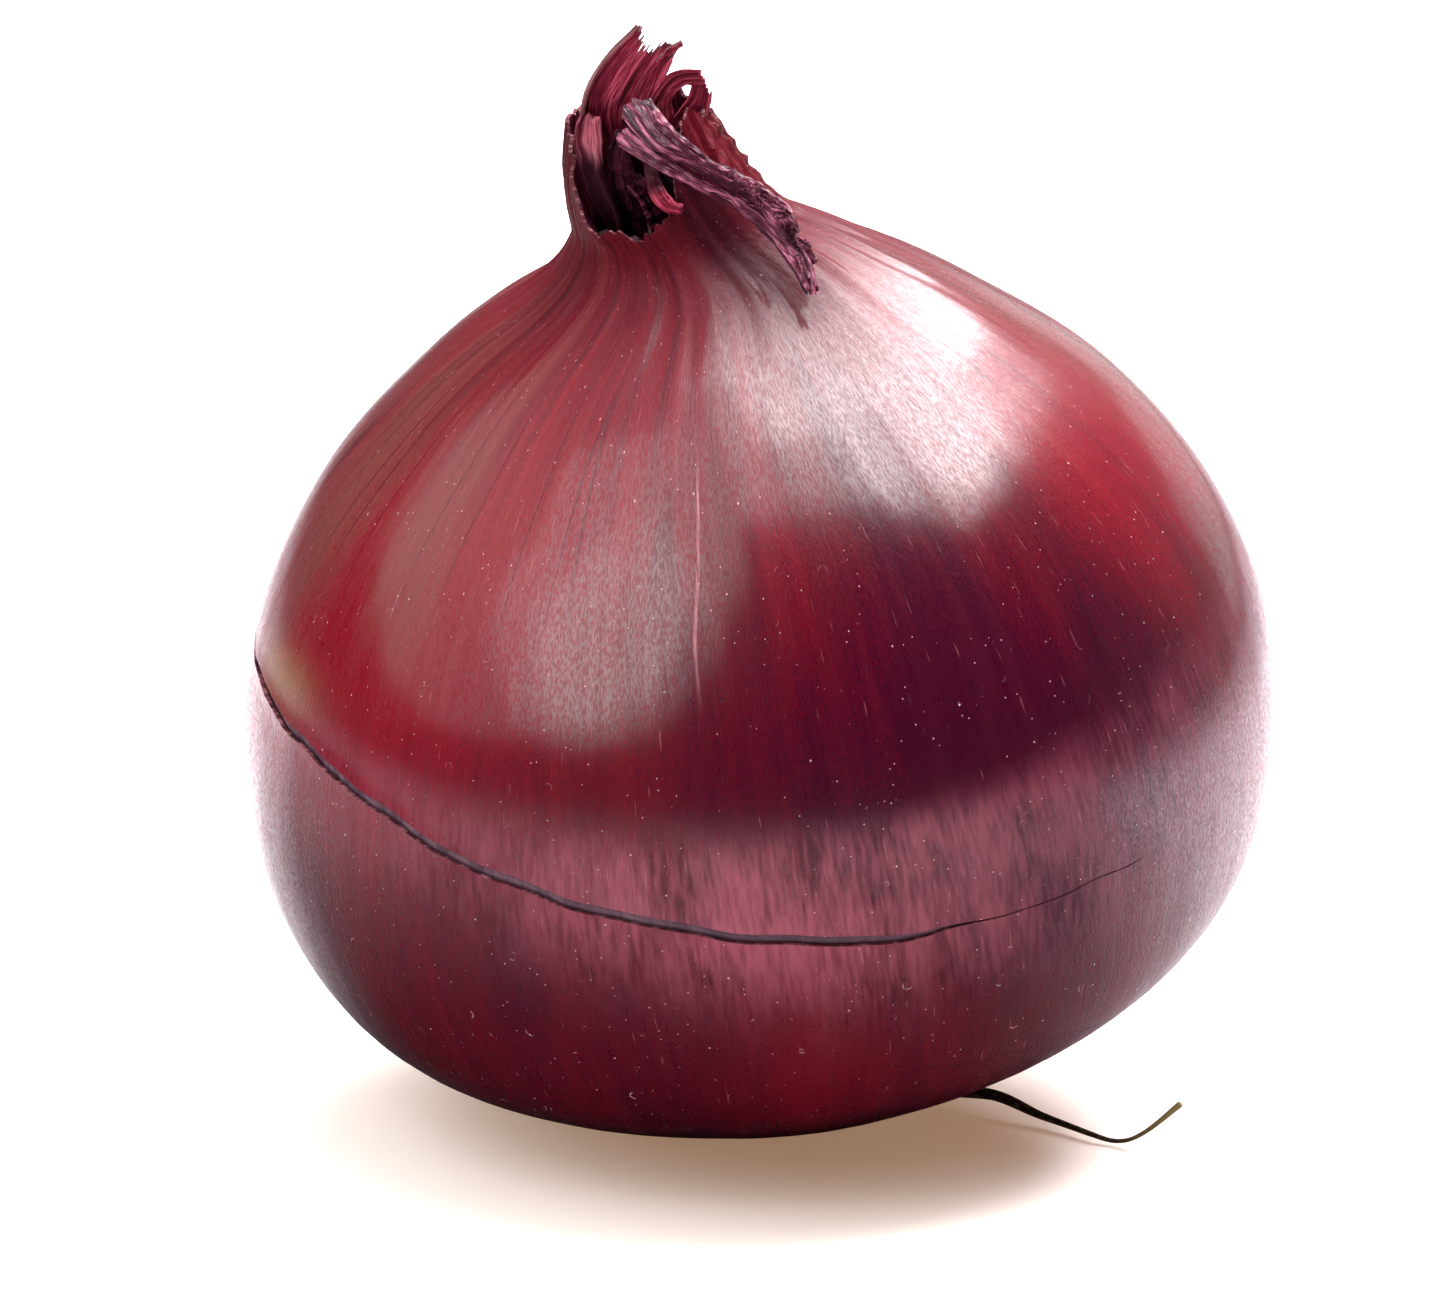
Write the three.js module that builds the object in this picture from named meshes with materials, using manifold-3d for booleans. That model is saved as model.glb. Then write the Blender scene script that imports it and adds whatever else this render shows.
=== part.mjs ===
// A red onion lying on the rim of its flat base, its neck leaning a little to the left and forwards.
// Millimetres, +Z up, +X to the right of the front view, the front faces -Y.
// The origin is the middle of the small flat spot that the onion rests on.
import * as THREE from 'three';
import { mergeVertices } from 'three/addons/utils/BufferGeometryUtils.js';
import Module from 'manifold-3d';

const wasm = await Module();
wasm.setup();

// Driving dimensions
const equatorRadius = 40;
const skinThickness = 0.8;
const gap = 0.3;
const flatDepth = 0.6;
const leanLeft = THREE.MathUtils.degToRad(7.7);
const leanForward = THREE.MathUtils.degToRad(11.3);
const balanceHeight = 33.8; // the centre of mass, measured up the onion's own axis
const leafThickness = 0.7;

// Facets round the onion and along one stretch of its outline
const around = 40;
const stepsPerPoint = 2;
const neckRings = 8;

// The outline of the dry skin in the onion's own frame, from the middle of the base to above the neck:
// radius as a share of the equator's, height, and how far the neck's middle has shifted to the right.
const outlinePoints = [
  [0, 0, 0],
  [0.1625, 0, 0],
  [0.225, 0.5, 0],
  [0.29, 1.5, 0],
  [0.45, 4.4, 0],
  [0.61, 7.4, 0],
  [0.87, 14.6, 0],
  [0.981, 24, 0],
  [1, 34.5, 0],
  [0.925, 44.9, 0],
  [0.775, 54.3, 0],
  [0.58, 61.4, 0],
  [0.45, 65.2, 0.3],
];
const neckPoints = [
  [0.335, 67.9, 0.8],
  [0.26, 69.9, 0.8],
  [0.195, 72.2, -0.3],
  [0.175, 75, -1.6],
  [0.15, 79, -2.6],
  [0.12, 83, -2.9],
  [0.1, 88, -3],
  [0.08, 94, -3],
];
const toVector = ([share, height, shift]) => new THREE.Vector3(share * equatorRadius, height, shift);
const wholePoints = [...outlinePoints, ...neckPoints].map(toVector);
const outline = new THREE.CatmullRomCurve3(wholePoints, false, 'catmullrom', 0.5);
const neckStart = (outlinePoints.length - 1) / (wholePoints.length - 1);
const bellyStart = 0.5 * neckStart;

// The throat's floor, and the torn rim of the neck: high at the back and low in a wide mouth at the front
const throatHeight = 71.4;
const rimHeight = 82.2;
const mouthDrop = 8.4;
const mouthLeft = -78;
const mouthRight = 26;
const mouthSlope = 16;
const raggedHeight = 0.45;
const pastRim = 3; // how far a hollow is cut on above the rim

// Lengthwise pleats where the skin draws in to the neck
const pleatCount = 7;
const pleatDepth = 0.3;
const pleatWander = 0.9; // how unevenly the pleats are spaced, in radians
const pleatFrom = 60;
const pleatTo = 73;

// The split across the front of the skin: azimuth from the front in degrees, + to the right, and height
const splitPoints = [
  [-96, 43.9],
  [-76, 43.6],
  [-52, 41.5],
  [-30, 37.4],
  [-11, 34],
  [8, 31.1],
  [24, 30],
];
const splitWidth = 0.65;
const splitEndWidth = 0.16;
const splitFadeIn = 0.16; // shares of its length over which it opens and closes
const splitFadeOut = 0.78;
const splitSteps = 26;

// The round opening in the skin under the root plate, and the plate
const rootOpening = 5.7;
const openingSides = 32;
const openingDepth = 8;
const plateRadius = 5.3;
const plateThickness = 0.65;
const plateHeight = 0.12;
const plateCrown = 0.1; // how far its middle stands out under its edge's start
const plateChamfer = 0.15;
const plateFlatShare = 0.6; // the flat middle's share of its radius
const plateSides = 28;

const smooth = (from, to, x) => THREE.MathUtils.smoothstep(x, from, to);
const toRadians = THREE.MathUtils.degToRad;

// The onion's own frame, leaning: its axis runs up the middle of the bulb.
const leaning = new THREE.Group();
leaning.rotation.set(leanForward, -leanLeft, 0, 'YXZ');

function solidOf(geometry) {
  const bare = geometry.clone();
  bare.deleteAttribute('normal');
  bare.deleteAttribute('uv');
  const merged = mergeVertices(bare, 1e-4);
  return new wasm.Manifold(
    new wasm.Mesh({
      numProp: 3,
      vertProperties: new Float32Array(merged.attributes.position.array),
      triVerts: new Uint32Array(merged.index.array),
    })
  );
}

// The largest of a solid's bodies: a loose scrap left by a cut is dropped.
function largest(solid) {
  const bodies = solid.decompose();
  return bodies.reduce((a, b) => (b.volume() > a.volume() ? b : a));
}

function geometryOf(solid) {
  const mesh = solid.getMesh();
  const positions = new Float32Array(mesh.numVert * 3);
  for (let i = 0; i < mesh.numVert; i++) {
    positions.set(mesh.vertProperties.subarray(i * mesh.numProp, i * mesh.numProp + 3), i * 3);
  }
  const geometry = new THREE.BufferGeometry();
  geometry.setAttribute('position', new THREE.BufferAttribute(positions, 3));
  geometry.setIndex(new THREE.BufferAttribute(mesh.triVerts, 1));
  geometry.computeVertexNormals();
  return geometry;
}

function middleOf(ring) {
  return ring.reduce((sum, point) => sum.add(point), new THREE.Vector3()).divideScalar(ring.length);
}

// A closed surface from rings of points, all with the same count and running anticlockwise seen from the
// end that they rise to. A point closes each end.
function loft(rings, first, last) {
  const count = rings[0].length;
  const points = [first, ...rings.flat(), last];
  const at = (ring, i) => 1 + ring * count + (i % count);
  const index = [];
  for (let i = 0; i < count; i++) {
    index.push(0, at(0, i + 1), at(0, i));
    index.push(points.length - 1, at(rings.length - 1, i), at(rings.length - 1, i + 1));
  }
  for (let ring = 0; ring + 1 < rings.length; ring++) {
    for (let i = 0; i < count; i++) {
      index.push(at(ring, i), at(ring, i + 1), at(ring + 1, i + 1));
      index.push(at(ring, i), at(ring + 1, i + 1), at(ring + 1, i));
    }
  }
  const geometry = new THREE.BufferGeometry().setFromPoints(points);
  geometry.setIndex(index);
  return geometry;
}

// How far along the outline a height is reached, between two places where the outline only rises
function alongAt(height, from, to) {
  let low = from;
  let high = to;
  for (let halving = 0; halving < 30; halving++) {
    const middle = (low + high) / 2;
    if (outline.getPoint(middle).y < height) low = middle;
    else high = middle;
  }
  return low;
}

// The point of the outline moved inwards along its normal: x is the radius, y the height, z the shift.
function insetPoint(along, inset) {
  const point = outline.getPoint(along);
  const tangent = outline.getTangent(along);
  const length = Math.hypot(tangent.x, tangent.y) || 1;
  point.x -= (inset * tangent.y) / length;
  point.y += (inset * tangent.x) / length;
  return point;
}

function pleat(azimuth, height) {
  const wave = Math.cos(pleatCount * azimuth + pleatWander * Math.sin(2 * azimuth));
  return pleatDepth * smooth(pleatFrom, pleatTo, height) * wave;
}

function place(point, azimuth) {
  const radius = point.x + pleat(azimuth, point.y);
  return new THREE.Vector3(
    point.z + radius * Math.sin(azimuth),
    -radius * Math.cos(azimuth),
    point.y
  );
}

// The torn rim's height at an azimuth
function rimAt(azimuth) {
  const degrees = THREE.MathUtils.radToDeg(Math.atan2(Math.sin(azimuth), Math.cos(azimuth)));
  const fromLeft = smooth(mouthLeft - mouthSlope, mouthLeft + mouthSlope, degrees);
  const fromRight = 1 - smooth(mouthRight - mouthSlope, mouthRight + mouthSlope, degrees);
  const ragged = Math.sin(6 * azimuth + 1) + 0.7 * Math.sin(13 * azimuth + 2);
  return rimHeight - mouthDrop * fromLeft * fromRight + raggedHeight * ragged;
}

// The onion's outline turned into a solid, drawn in by inset, up to a top height at each azimuth.
function onionSolid(inset, topAt) {
  const bodySteps = (outlinePoints.length - 1) * stepsPerPoint;
  const rings = [];
  for (let step = 1; step <= bodySteps + neckRings; step++) {
    const ring = [];
    for (let i = 0; i < around; i++) {
      const azimuth = (i / around) * 2 * Math.PI;
      const climb = Math.max(0, (step - bodySteps) / neckRings);
      const along = step <= bodySteps
        ? (neckStart * step) / bodySteps
        : THREE.MathUtils.lerp(neckStart, alongAt(topAt(azimuth), neckStart, 1), climb);
      ring.push(place(insetPoint(along, inset), azimuth));
    }
    rings.push(ring);
  }
  const foot = new THREE.Vector3(0, 0, inset);
  return solidOf(loft(rings, foot, middleOf(rings[rings.length - 1])));
}

// A thin wedge that follows the split round the onion and passes through the skin alone
function splitCutter() {
  const path = new THREE.SplineCurve(splitPoints.map((spot) => new THREE.Vector2(...spot)));
  const rings = [];
  for (let step = 0; step <= splitSteps; step++) {
    const share = step / splitSteps;
    const spot = path.getPoint(share);
    const taper = smooth(0, splitFadeIn, share) * (1 - smooth(splitFadeOut, 1, share));
    const half = THREE.MathUtils.lerp(splitEndWidth, splitWidth, taper) / 2;
    const corner = (inset, side) => {
      const height = spot.y + side * half;
      const radius = outline.getPoint(alongAt(height, bellyStart, neckStart)).x - inset;
      const azimuth = toRadians(spot.x);
      return new THREE.Vector3(radius * Math.sin(azimuth), -radius * Math.cos(azimuth), height);
    };
    const inner = skinThickness + gap / 2;
    rings.push([corner(inner, -1), corner(inner, 1), corner(-1, 1), corner(-1, -1)]);
  }
  return solidOf(loft(rings, middleOf(rings[0]), middleOf(rings[splitSteps])));
}

// Shares of a leaf's half width: where the hook of its left edge starts, and how deep it folds.
// An edge is thinner than the middle by its share, and the wrinkles run slanted across.
const hookFrom = 0.3;
const hookDepth = 0.45;
const edgeThinning = 0.2;
const wrinkleSlant = 2.2;

// A dry leaf: a strip carried along a path. Each row holds a point of the path, the strip's half width
// there, and the direction across it. The strip curls about its length, and its free end is torn into teeth.
function leafSolid(leaf, grow) {
  const path = new THREE.CatmullRomCurve3(leaf.rows.map((r) => new THREE.Vector3(r[0], r[1], r[2])));
  const across = new THREE.CatmullRomCurve3(leaf.rows.map((r) => new THREE.Vector3(r[4], r[5], r[6])));
  const halfWidths = new THREE.SplineCurve(leaf.rows.map((r, i) => new THREE.Vector2(i, r[3])));
  const half = leafThickness / 2 + grow;
  const columns = leaf.columns;
  const rings = [];
  for (let step = 0; step <= leaf.steps; step++) {
    const front = [];
    const back = [];
    for (let column = 0; column <= columns; column++) {
      const v = (2 * column) / columns - 1;
      const tooth = leaf.teeth * (0.5 + 0.5 * Math.sin(leaf.toothCount * v + leaf.toothShift));
      const share = (step / leaf.steps) * (1 - tooth);
      const point = path.getPoint(share);
      const forward = path.getTangent(share);
      const side = across.getPoint(share);
      side.addScaledVector(forward, -side.dot(forward)).normalize();
      const face = new THREE.Vector3().crossVectors(forward, side).negate();
      const reach = halfWidths.getPoint(share).y + grow;
      const bend = leaf.curl / 2;
      const hooked = smooth(hookFrom, 1, -v);
      const angle = bend * v - leaf.hook * hooked;
      const bow = (reach * (1 - Math.cos(bend * v))) / bend;
      const spread = (reach * Math.sin(bend * v)) / bend;
      const roll = hookDepth * leaf.hook * reach * hooked ** 2;
      const wrinkle = leaf.wrinkle * Math.sin(leaf.wrinkles * share * Math.PI + wrinkleSlant * v);
      const centre = point.clone();
      centre.addScaledVector(side, spread + roll / 2);
      centre.addScaledVector(face, bow + roll + wrinkle);
      const normal = face.clone().multiplyScalar(Math.cos(angle)).addScaledVector(side, -Math.sin(angle));
      const thin = half * (1 - edgeThinning * Math.abs(v) ** 6);
      front.push(centre.clone().addScaledVector(normal, thin));
      back.push(centre.clone().addScaledVector(normal, -thin));
    }
    rings.push([...front, ...back.reverse()]);
  }
  return strip(rings, columns);
}

// A strip's rings closed by flat ends: the front row is joined to the back row, column by column.
function strip(rings, columns) {
  const count = rings[0].length;
  const points = rings.flat();
  const at = (ring, i) => ring * count + (i % count);
  const index = [];
  for (let ring = 0; ring + 1 < rings.length; ring++) {
    for (let i = 0; i < count; i++) {
      index.push(at(ring, i), at(ring, i + 1), at(ring + 1, i + 1));
      index.push(at(ring, i), at(ring + 1, i + 1), at(ring + 1, i));
    }
  }
  const lastRing = rings.length - 1;
  for (let column = 0; column < columns; column++) {
    const far = count - 1 - column;
    index.push(at(0, column), at(0, far), at(0, column + 1));
    index.push(at(0, column + 1), at(0, far), at(0, far - 1));
    index.push(at(lastRing, column), at(lastRing, column + 1), at(lastRing, far));
    index.push(at(lastRing, column + 1), at(lastRing, far - 1), at(lastRing, far));
  }
  const geometry = new THREE.BufferGeometry().setFromPoints(points);
  geometry.setIndex(index);
  return solidOf(geometry);
}

// The dry leaf ends that stand in the neck, in the onion's own frame.
// Rows: x, y, z, half width, and the direction across.
const leaves = {
  // The broad flap that folds over at its left edge and ends highest
  top_leaf: {
    rows: [
      [-2.6, 1.2, 72, 1.8, 1, 0, 0],
      [-3.4, 1, 77, 2.1, 1, 0, 0],
      [-3.9, 0.3, 81.4, 2.5, 1, 0.1, -0.15],
      [-3.2, -0.2, 83.8, 2.7, 0.75, 0.1, -0.6],
      [-0.8, 0, 86.9, 2.3, 0.65, 0.2, -0.7],
    ],
    curl: 1.5,
    hook: 0.5,
    teeth: 0.12,
    toothCount: 5,
    toothShift: 2.6,
    wrinkle: 0.12,
    wrinkles: 5,
    steps: 20,
    columns: 8,
  },
  // The small ragged flap on the right, with a hole torn in it
  side_leaf: {
    rows: [
      [0.5, 1.9, 72, 1.2, 1, 0, 0],
      [0.1, 1.4, 77.5, 1.3, 1, 0, 0],
      [0.3, 0.2, 80.6, 1.5, 1, 0, -0.2],
      [0.9, -0.6, 82.6, 1.8, 0.85, 0, -0.5],
      [2, -0.8, 84.4, 1.5, 0.8, 0, -0.6],
    ],
    curl: 0.9,
    hook: 0,
    teeth: 0.14,
    toothCount: 6,
    toothShift: 0.4,
    wrinkle: 0.1,
    wrinkles: 4,
    steps: 18,
    columns: 8,
    hole: { x: 0.9, y: -0.6, z: 82.4, radius: 0.5, length: 8, tilt: 1.16, sides: 12 },
  },
  // The long withered leaf that falls out of the mouth and over the right shoulder
  hanging_leaf: {
    rows: [
      [-0.6, -1.3, 72, 1.1, 1, 0, 0],
      [-1.4, -1.5, 77.5, 1.2, 1, 0, 0],
      [-2.2, -2, 82, 1.3, 1, 0, 0.1],
      [-2.1, -4.2, 83.1, 1.3, 1, 0.1, 0.4],
      [-1, -6.6, 80.9, 1.3, 0.8, 0.1, 0.7],
      [1.6, -7, 78.7, 1.15, 0.6, -0.1, 0.8],
      [4.3, -6.9, 76.2, 1.1, 0.6, -0.2, 0.7],
      [6.4, -7.6, 74, 1.25, 0.7, -0.1, 0.6],
      [8.1, -9.4, 71.7, 0.9, 0.9, 0.2, 0.3],
      [8.8, -12, 69.6, 0.5, 1, 0.2, 0],
    ],
    curl: 1.9,
    hook: 0,
    teeth: 0.04,
    toothCount: 5,
    toothShift: 0,
    wrinkle: 0.16,
    wrinkles: 9,
    steps: 42,
    columns: 6,
  },
  // The pale inner scale that stands against the left wall
  inner_leaf: {
    rows: [
      [-4.7, -2.6, 72.2, 1.2, 0.6, -0.8, 0],
      [-5.6, -2.5, 77.5, 1.6, 0.6, -0.8, 0],
      [-5.7, -2.2, 80, 1.5, 0.6, -0.8, 0],
      [-5.2, -1.7, 82.2, 1, 0.6, -0.8, 0.1],
    ],
    curl: 1.2,
    hook: 0,
    teeth: 0.14,
    toothCount: 4,
    toothShift: 1.2,
    wrinkle: 0.08,
    wrinkles: 3,
    steps: 12,
    columns: 6,
  },
};

// Roots are round tubes with few sides. Each row holds a point and the radius there.
function rootSolid(rows, sides, steps) {
  const path = new THREE.CatmullRomCurve3(rows.map((r) => new THREE.Vector3(r[0], r[1], r[2])));
  const radii = new THREE.SplineCurve(rows.map((r, i) => new THREE.Vector2(i, r[3])));
  const frames = path.computeFrenetFrames(steps, false);
  const rings = [];
  for (let step = 0; step <= steps; step++) {
    const centre = path.getPointAt(step / steps);
    const share = path.getUtoTmapping(step / steps);
    const radius = radii.getPoint(share).y;
    const ring = [];
    for (let i = 0; i < sides; i++) {
      const turn = (i / sides) * 2 * Math.PI;
      const point = centre.clone();
      point.addScaledVector(frames.normals[step], radius * Math.cos(turn));
      point.addScaledVector(frames.binormals[step], radius * Math.sin(turn));
      ring.push(point);
    }
    rings.push(ring);
  }
  return solidOf(loft(rings, path.getPointAt(0), path.getPointAt(1)));
}

// A seeded draw, so that the short roots come out alike each time
function randomFrom(seed) {
  let state = seed;
  return () => {
    state = (state * 1664525 + 1013904223) % 4294967296;
    return state / 4294967296;
  };
}

// The frame that the part stands in: the centre of mass is over the origin, and the flat spot is at z = 0.
function settle(outer) {
  leaning.updateMatrix();
  const centre = new THREE.Vector3(0, 0, balanceHeight).applyMatrix4(leaning.matrix);
  const mesh = outer.getMesh();
  let lowest = Infinity;
  for (let i = 0; i < mesh.numVert; i++) {
    const point = new THREE.Vector3().fromArray(mesh.vertProperties, i * mesh.numProp);
    point.applyMatrix4(leaning.matrix);
    lowest = Math.min(lowest, point.z);
  }
  leaning.position.set(-centre.x, -centre.y, -lowest - flatDepth);
  leaning.updateMatrix();
}

// A block under a level of the resting frame, seen from the onion's own frame
function blockUnder(level) {
  const size = 300;
  const box = new THREE.BoxGeometry(size, size, size);
  box.translate(0, 0, level - size / 2);
  box.applyMatrix4(leaning.matrix.clone().invert());
  return solidOf(box);
}

function cylinder(radius, length, sides) {
  return new THREE.CylinderGeometry(radius, radius, length, sides).rotateX(Math.PI / 2);
}

const whole = onionSolid(0, rimAt);
settle(whole);

// The dry outer skin: a thin shell with a torn mouth, a split across the front and an opening at the
// root plate
function skinSolid() {
  const hollow = onionSolid(skinThickness, (azimuth) => rimAt(azimuth) + pastRim);
  const inside = hollow.subtract(blockUnder(skinThickness));
  const opening = solidOf(cylinder(rootOpening, openingDepth, openingSides));
  return largest(whole.subtract(inside).subtract(opening).subtract(splitCutter()).subtract(blockUnder(0)));
}

// The bulb under the skin, up to the dark floor of the throat
function bulbSolid() {
  const inset = skinThickness + gap;
  return largest(onionSolid(inset, () => throatHeight).subtract(blockUnder(inset)));
}

// What every other piece keeps clear of: the skin, grown by the gap on both of its faces
function skinZone() {
  const inside = onionSolid(skinThickness + gap, (azimuth) => rimAt(azimuth) + pastRim);
  return onionSolid(-gap, (azimuth) => rimAt(azimuth) + gap).subtract(inside);
}

// The root plate with its dry roots, all on the side that the lean lifts off the table, and one long root
// that runs out to the right, touches down and turns up at its tip
const longRoot = [
  [5.6, 5, 1.3, 0.5],
  [9, 2.6, 0.95, 0.5],
  [13, 0.4, 0.95, 0.5],
  [18.6, -2.7, 1.45, 0.58],
  [22.6, -6.2, 0.85, 0.45],
  [26, -9.8, 0.6, 0.32],
  [28.1, -11.2, 0.6, 0.25],
  [29.8, -12.2, 1.45, 0.25],
  [32.6, -13.1, 4.1, 0.3],
];
const longRootFacets = { sides: 7, steps: 30 };
const shortRoots = {
  count: 11,
  seed: 12,
  from: -10, // degrees round the plate
  to: 215,
  least: 2.2, // length
  most: 4.6,
  innermost: 0.45, // where they start, as a share of the plate's radius
  outermost: 0.8,
  startHeight: 0.45,
  unevenness: 0.7, // how much of its share of the round each may stray
  droop: 0.9, // how far the tips hang, and how far each bends to one side in radians
  bend: 0.25,
  radius: 0.36,
  tipShare: 0.6, // the radius at the tip
  sides: 5,
  steps: 5,
};

function rootPlateSolid() {
  const outlineOfPlate = [
    new THREE.Vector2(0, plateHeight - plateCrown),
    new THREE.Vector2(plateRadius * plateFlatShare, plateHeight - plateCrown),
    new THREE.Vector2(plateRadius, plateHeight + plateChamfer),
    new THREE.Vector2(plateRadius, plateHeight + plateThickness),
    new THREE.Vector2(0, plateHeight + plateThickness),
  ];
  const plate = new THREE.LatheGeometry(outlineOfPlate, plateSides).rotateX(Math.PI / 2);
  let solid = solidOf(plate);
  const toOwnFrame = leaning.matrix.clone().invert();
  const ownRows = longRoot.map(([x, y, z, radius]) => {
    const point = new THREE.Vector3(x, y, z).applyMatrix4(toOwnFrame);
    return [point.x, point.y, point.z, radius];
  });
  solid = solid.add(rootSolid(ownRows, longRootFacets.sides, longRootFacets.steps));
  const random = randomFrom(shortRoots.seed);
  for (let i = 0; i < shortRoots.count; i++) {
    const spread = (i + shortRoots.unevenness * random()) / shortRoots.count;
    const azimuth = toRadians(THREE.MathUtils.lerp(shortRoots.from, shortRoots.to, spread));
    const length = THREE.MathUtils.lerp(shortRoots.least, shortRoots.most, random());
    const start = plateRadius * THREE.MathUtils.lerp(shortRoots.innermost, shortRoots.outermost, random());
    const droop = shortRoots.droop * (0.5 + 0.5 * random());
    const bend = shortRoots.bend * (2 * random() - 1);
    const at = (reach, swing, height) => {
      const direction = azimuth + swing;
      return [reach * Math.cos(direction), reach * Math.sin(direction), height];
    };
    const rows = [
      [...at(start, 0, shortRoots.startHeight), shortRoots.radius],
      [...at(start + length * 0.4, bend * 0.3, -droop / 3), shortRoots.radius],
      [...at(start + length, bend, -droop), shortRoots.radius * shortRoots.tipShare],
    ];
    solid = solid.add(rootSolid(rows, shortRoots.sides, shortRoots.steps));
  }
  const clear = skinZone().subtract(solidOf(cylinder(rootOpening - gap, openingDepth, openingSides)));
  return largest(solid.subtract(clear).subtract(blockUnder(0)));
}

function leafNodes() {
  const zone = skinZone();
  const placed = [];
  const nodes = {};
  for (const [name, leaf] of Object.entries(leaves)) {
    let solid = leafSolid(leaf, 0).subtract(zone);
    for (const other of placed) solid = solid.subtract(other);
    if (leaf.hole) {
      const drill = cylinder(leaf.hole.radius, leaf.hole.length, leaf.hole.sides);
      drill.rotateX(leaf.hole.tilt).translate(leaf.hole.x, leaf.hole.y, leaf.hole.z);
      solid = solid.subtract(solidOf(drill));
    }
    nodes[name] = largest(solid);
    placed.push(leafSolid(leaf, gap));
  }
  return nodes;
}

const looks = {
  outer_skin: { color: 0x7d1a30, roughness: 0.4, metalness: 0 },
  bulb: { color: 0x4a2a3a, roughness: 0.5, metalness: 0 },
  root_plate: { color: 0x5a4030, roughness: 0.9, metalness: 0 },
  top_leaf: { color: 0x6d1f38, roughness: 0.8, metalness: 0 },
  side_leaf: { color: 0x7a1a33, roughness: 0.8, metalness: 0 },
  hanging_leaf: { color: 0x7c4a58, roughness: 0.85, metalness: 0 },
  inner_leaf: { color: 0x9a5a62, roughness: 0.8, metalness: 0 },
};

const solids = {
  outer_skin: skinSolid(),
  bulb: bulbSolid(),
  root_plate: rootPlateSolid(),
  ...leafNodes(),
};

for (const [name, solid] of Object.entries(solids)) {
  const mesh = new THREE.Mesh(geometryOf(solid), new THREE.MeshStandardMaterial(looks[name]));
  mesh.name = name;
  leaning.add(mesh);
}

const group = new THREE.Group();
group.add(leaning);
export default group;
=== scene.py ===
# A red onion lying on the rim of its base: dry skin with a split across it, a torn neck with withered
# leaf ends, and dried roots. Lengths in the shape dictionaries are millimetres, in the onion's own frame:
# its axis is upright, azimuth 0 faces the front and azimuth 90 faces right.
import math
import bpy
import numpy as np
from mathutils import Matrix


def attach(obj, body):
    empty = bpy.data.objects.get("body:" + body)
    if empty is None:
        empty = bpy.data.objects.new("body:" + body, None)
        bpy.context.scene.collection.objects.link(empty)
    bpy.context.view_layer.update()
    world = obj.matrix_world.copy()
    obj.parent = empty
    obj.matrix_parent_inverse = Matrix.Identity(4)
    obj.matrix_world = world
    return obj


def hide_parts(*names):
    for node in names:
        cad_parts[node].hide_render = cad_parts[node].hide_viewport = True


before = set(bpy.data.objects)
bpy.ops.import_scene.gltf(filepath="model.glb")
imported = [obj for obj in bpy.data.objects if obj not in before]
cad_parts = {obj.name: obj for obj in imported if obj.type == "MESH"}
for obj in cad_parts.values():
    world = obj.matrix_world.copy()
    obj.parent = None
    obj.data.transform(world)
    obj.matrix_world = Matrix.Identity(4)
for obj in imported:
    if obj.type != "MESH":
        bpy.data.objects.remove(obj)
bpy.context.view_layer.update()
mm = 0.001
print("frame loaded")

pose = {
    "leanLeft": 7.7,  # degrees
    "leanForward": 11.3,  # degrees
    "balanceHeight": 33.8,  # the centre of mass, up the axis
    "flatDepth": 0.6,  # how deep the flat spot under the onion is
}

onionShape = {
    "equatorRadius": 40.0,
    # share of the equator's radius, height, and the neck's shift to the right
    "outline": [
        (0, 0, 0), (0.1625, 0, 0), (0.225, 0.5, 0), (0.29, 1.5, 0), (0.45, 4.4, 0), (0.61, 7.4, 0),
        (0.87, 14.6, 0), (0.981, 24, 0), (1, 34.5, 0), (0.925, 44.9, 0), (0.775, 54.3, 0), (0.58, 61.4, 0),
        (0.45, 65.2, 0.3), (0.335, 67.9, 0.8), (0.26, 69.9, 0.8), (0.195, 72.2, -0.3), (0.175, 75, -1.6),
        (0.15, 79, -2.6), (0.12, 83, -2.9), (0.1, 88, -3), (0.08, 94, -3),
    ],
    "sideHeight": 5,  # where the underside ends and the sides begin
    "neckHeight": 65.2,  # where the belly ends and the neck begins
    "throatHeight": 71.4,
    "rimHeight": 82.2,
    # the mouth: how deep it cuts into the rim, and from and to which azimuth, in degrees
    "mouthDrop": 7.9,
    "mouthLeft": -66,
    "mouthRight": 20,
    "mouthSlope": 22,
    # how much lower the rim is there: drop, azimuth, spread
    "rimDrops": ((2.0, -100, 32), (2.0, 100, 50)),
    # torn edge of the rim: two sines and finer waves
    "rimWave": 0.45,
    "rimTeeth": 0.3,
    "rimTeethCounts": (19, 31, 47, 71),
}


def ease(low, high, x):
    # 0 below low, 1 above high, and the cubic 3t^2 - 2t^3 between them
    t = np.clip((np.asarray(x, float) - low) / (high - low), 0, 1)
    return t * t * (3 - 2 * t)


def bell(x, middle, spread):
    # 1 at the middle, falling away on both sides as exp(-t^2)
    return np.exp(-(((x - middle) / spread) ** 2))


def together(*parts):
    # numbers or arrays side by side as vectors
    return np.stack(np.broadcast_arrays(*parts), -1)


def curveThrough(points, share):
    # Catmull-Rom: a cubic for each span, its end slopes half the chord between the neighbouring points
    points = np.asarray(points, float)
    knots = np.vstack([2 * points[0] - points[1], points, 2 * points[-1] - points[-2]])
    place = np.clip(share, 0, 1) * (len(points) - 1)
    span = np.minimum(place.astype(int), len(points) - 2)
    t = (place - span)[..., None]
    a, b, c, d = (knots[span + step] for step in range(4))
    bend = t * t * (a - 2.5 * b + 2 * c - 0.5 * d)
    return b + 0.5 * t * (c - a) + bend + 0.5 * t**3 * (3 * b - a - 3 * c + d)


def unit(vectors):
    # the same directions, with length 1
    return vectors / np.linalg.norm(vectors, axis=-1, keepdims=True)


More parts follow.
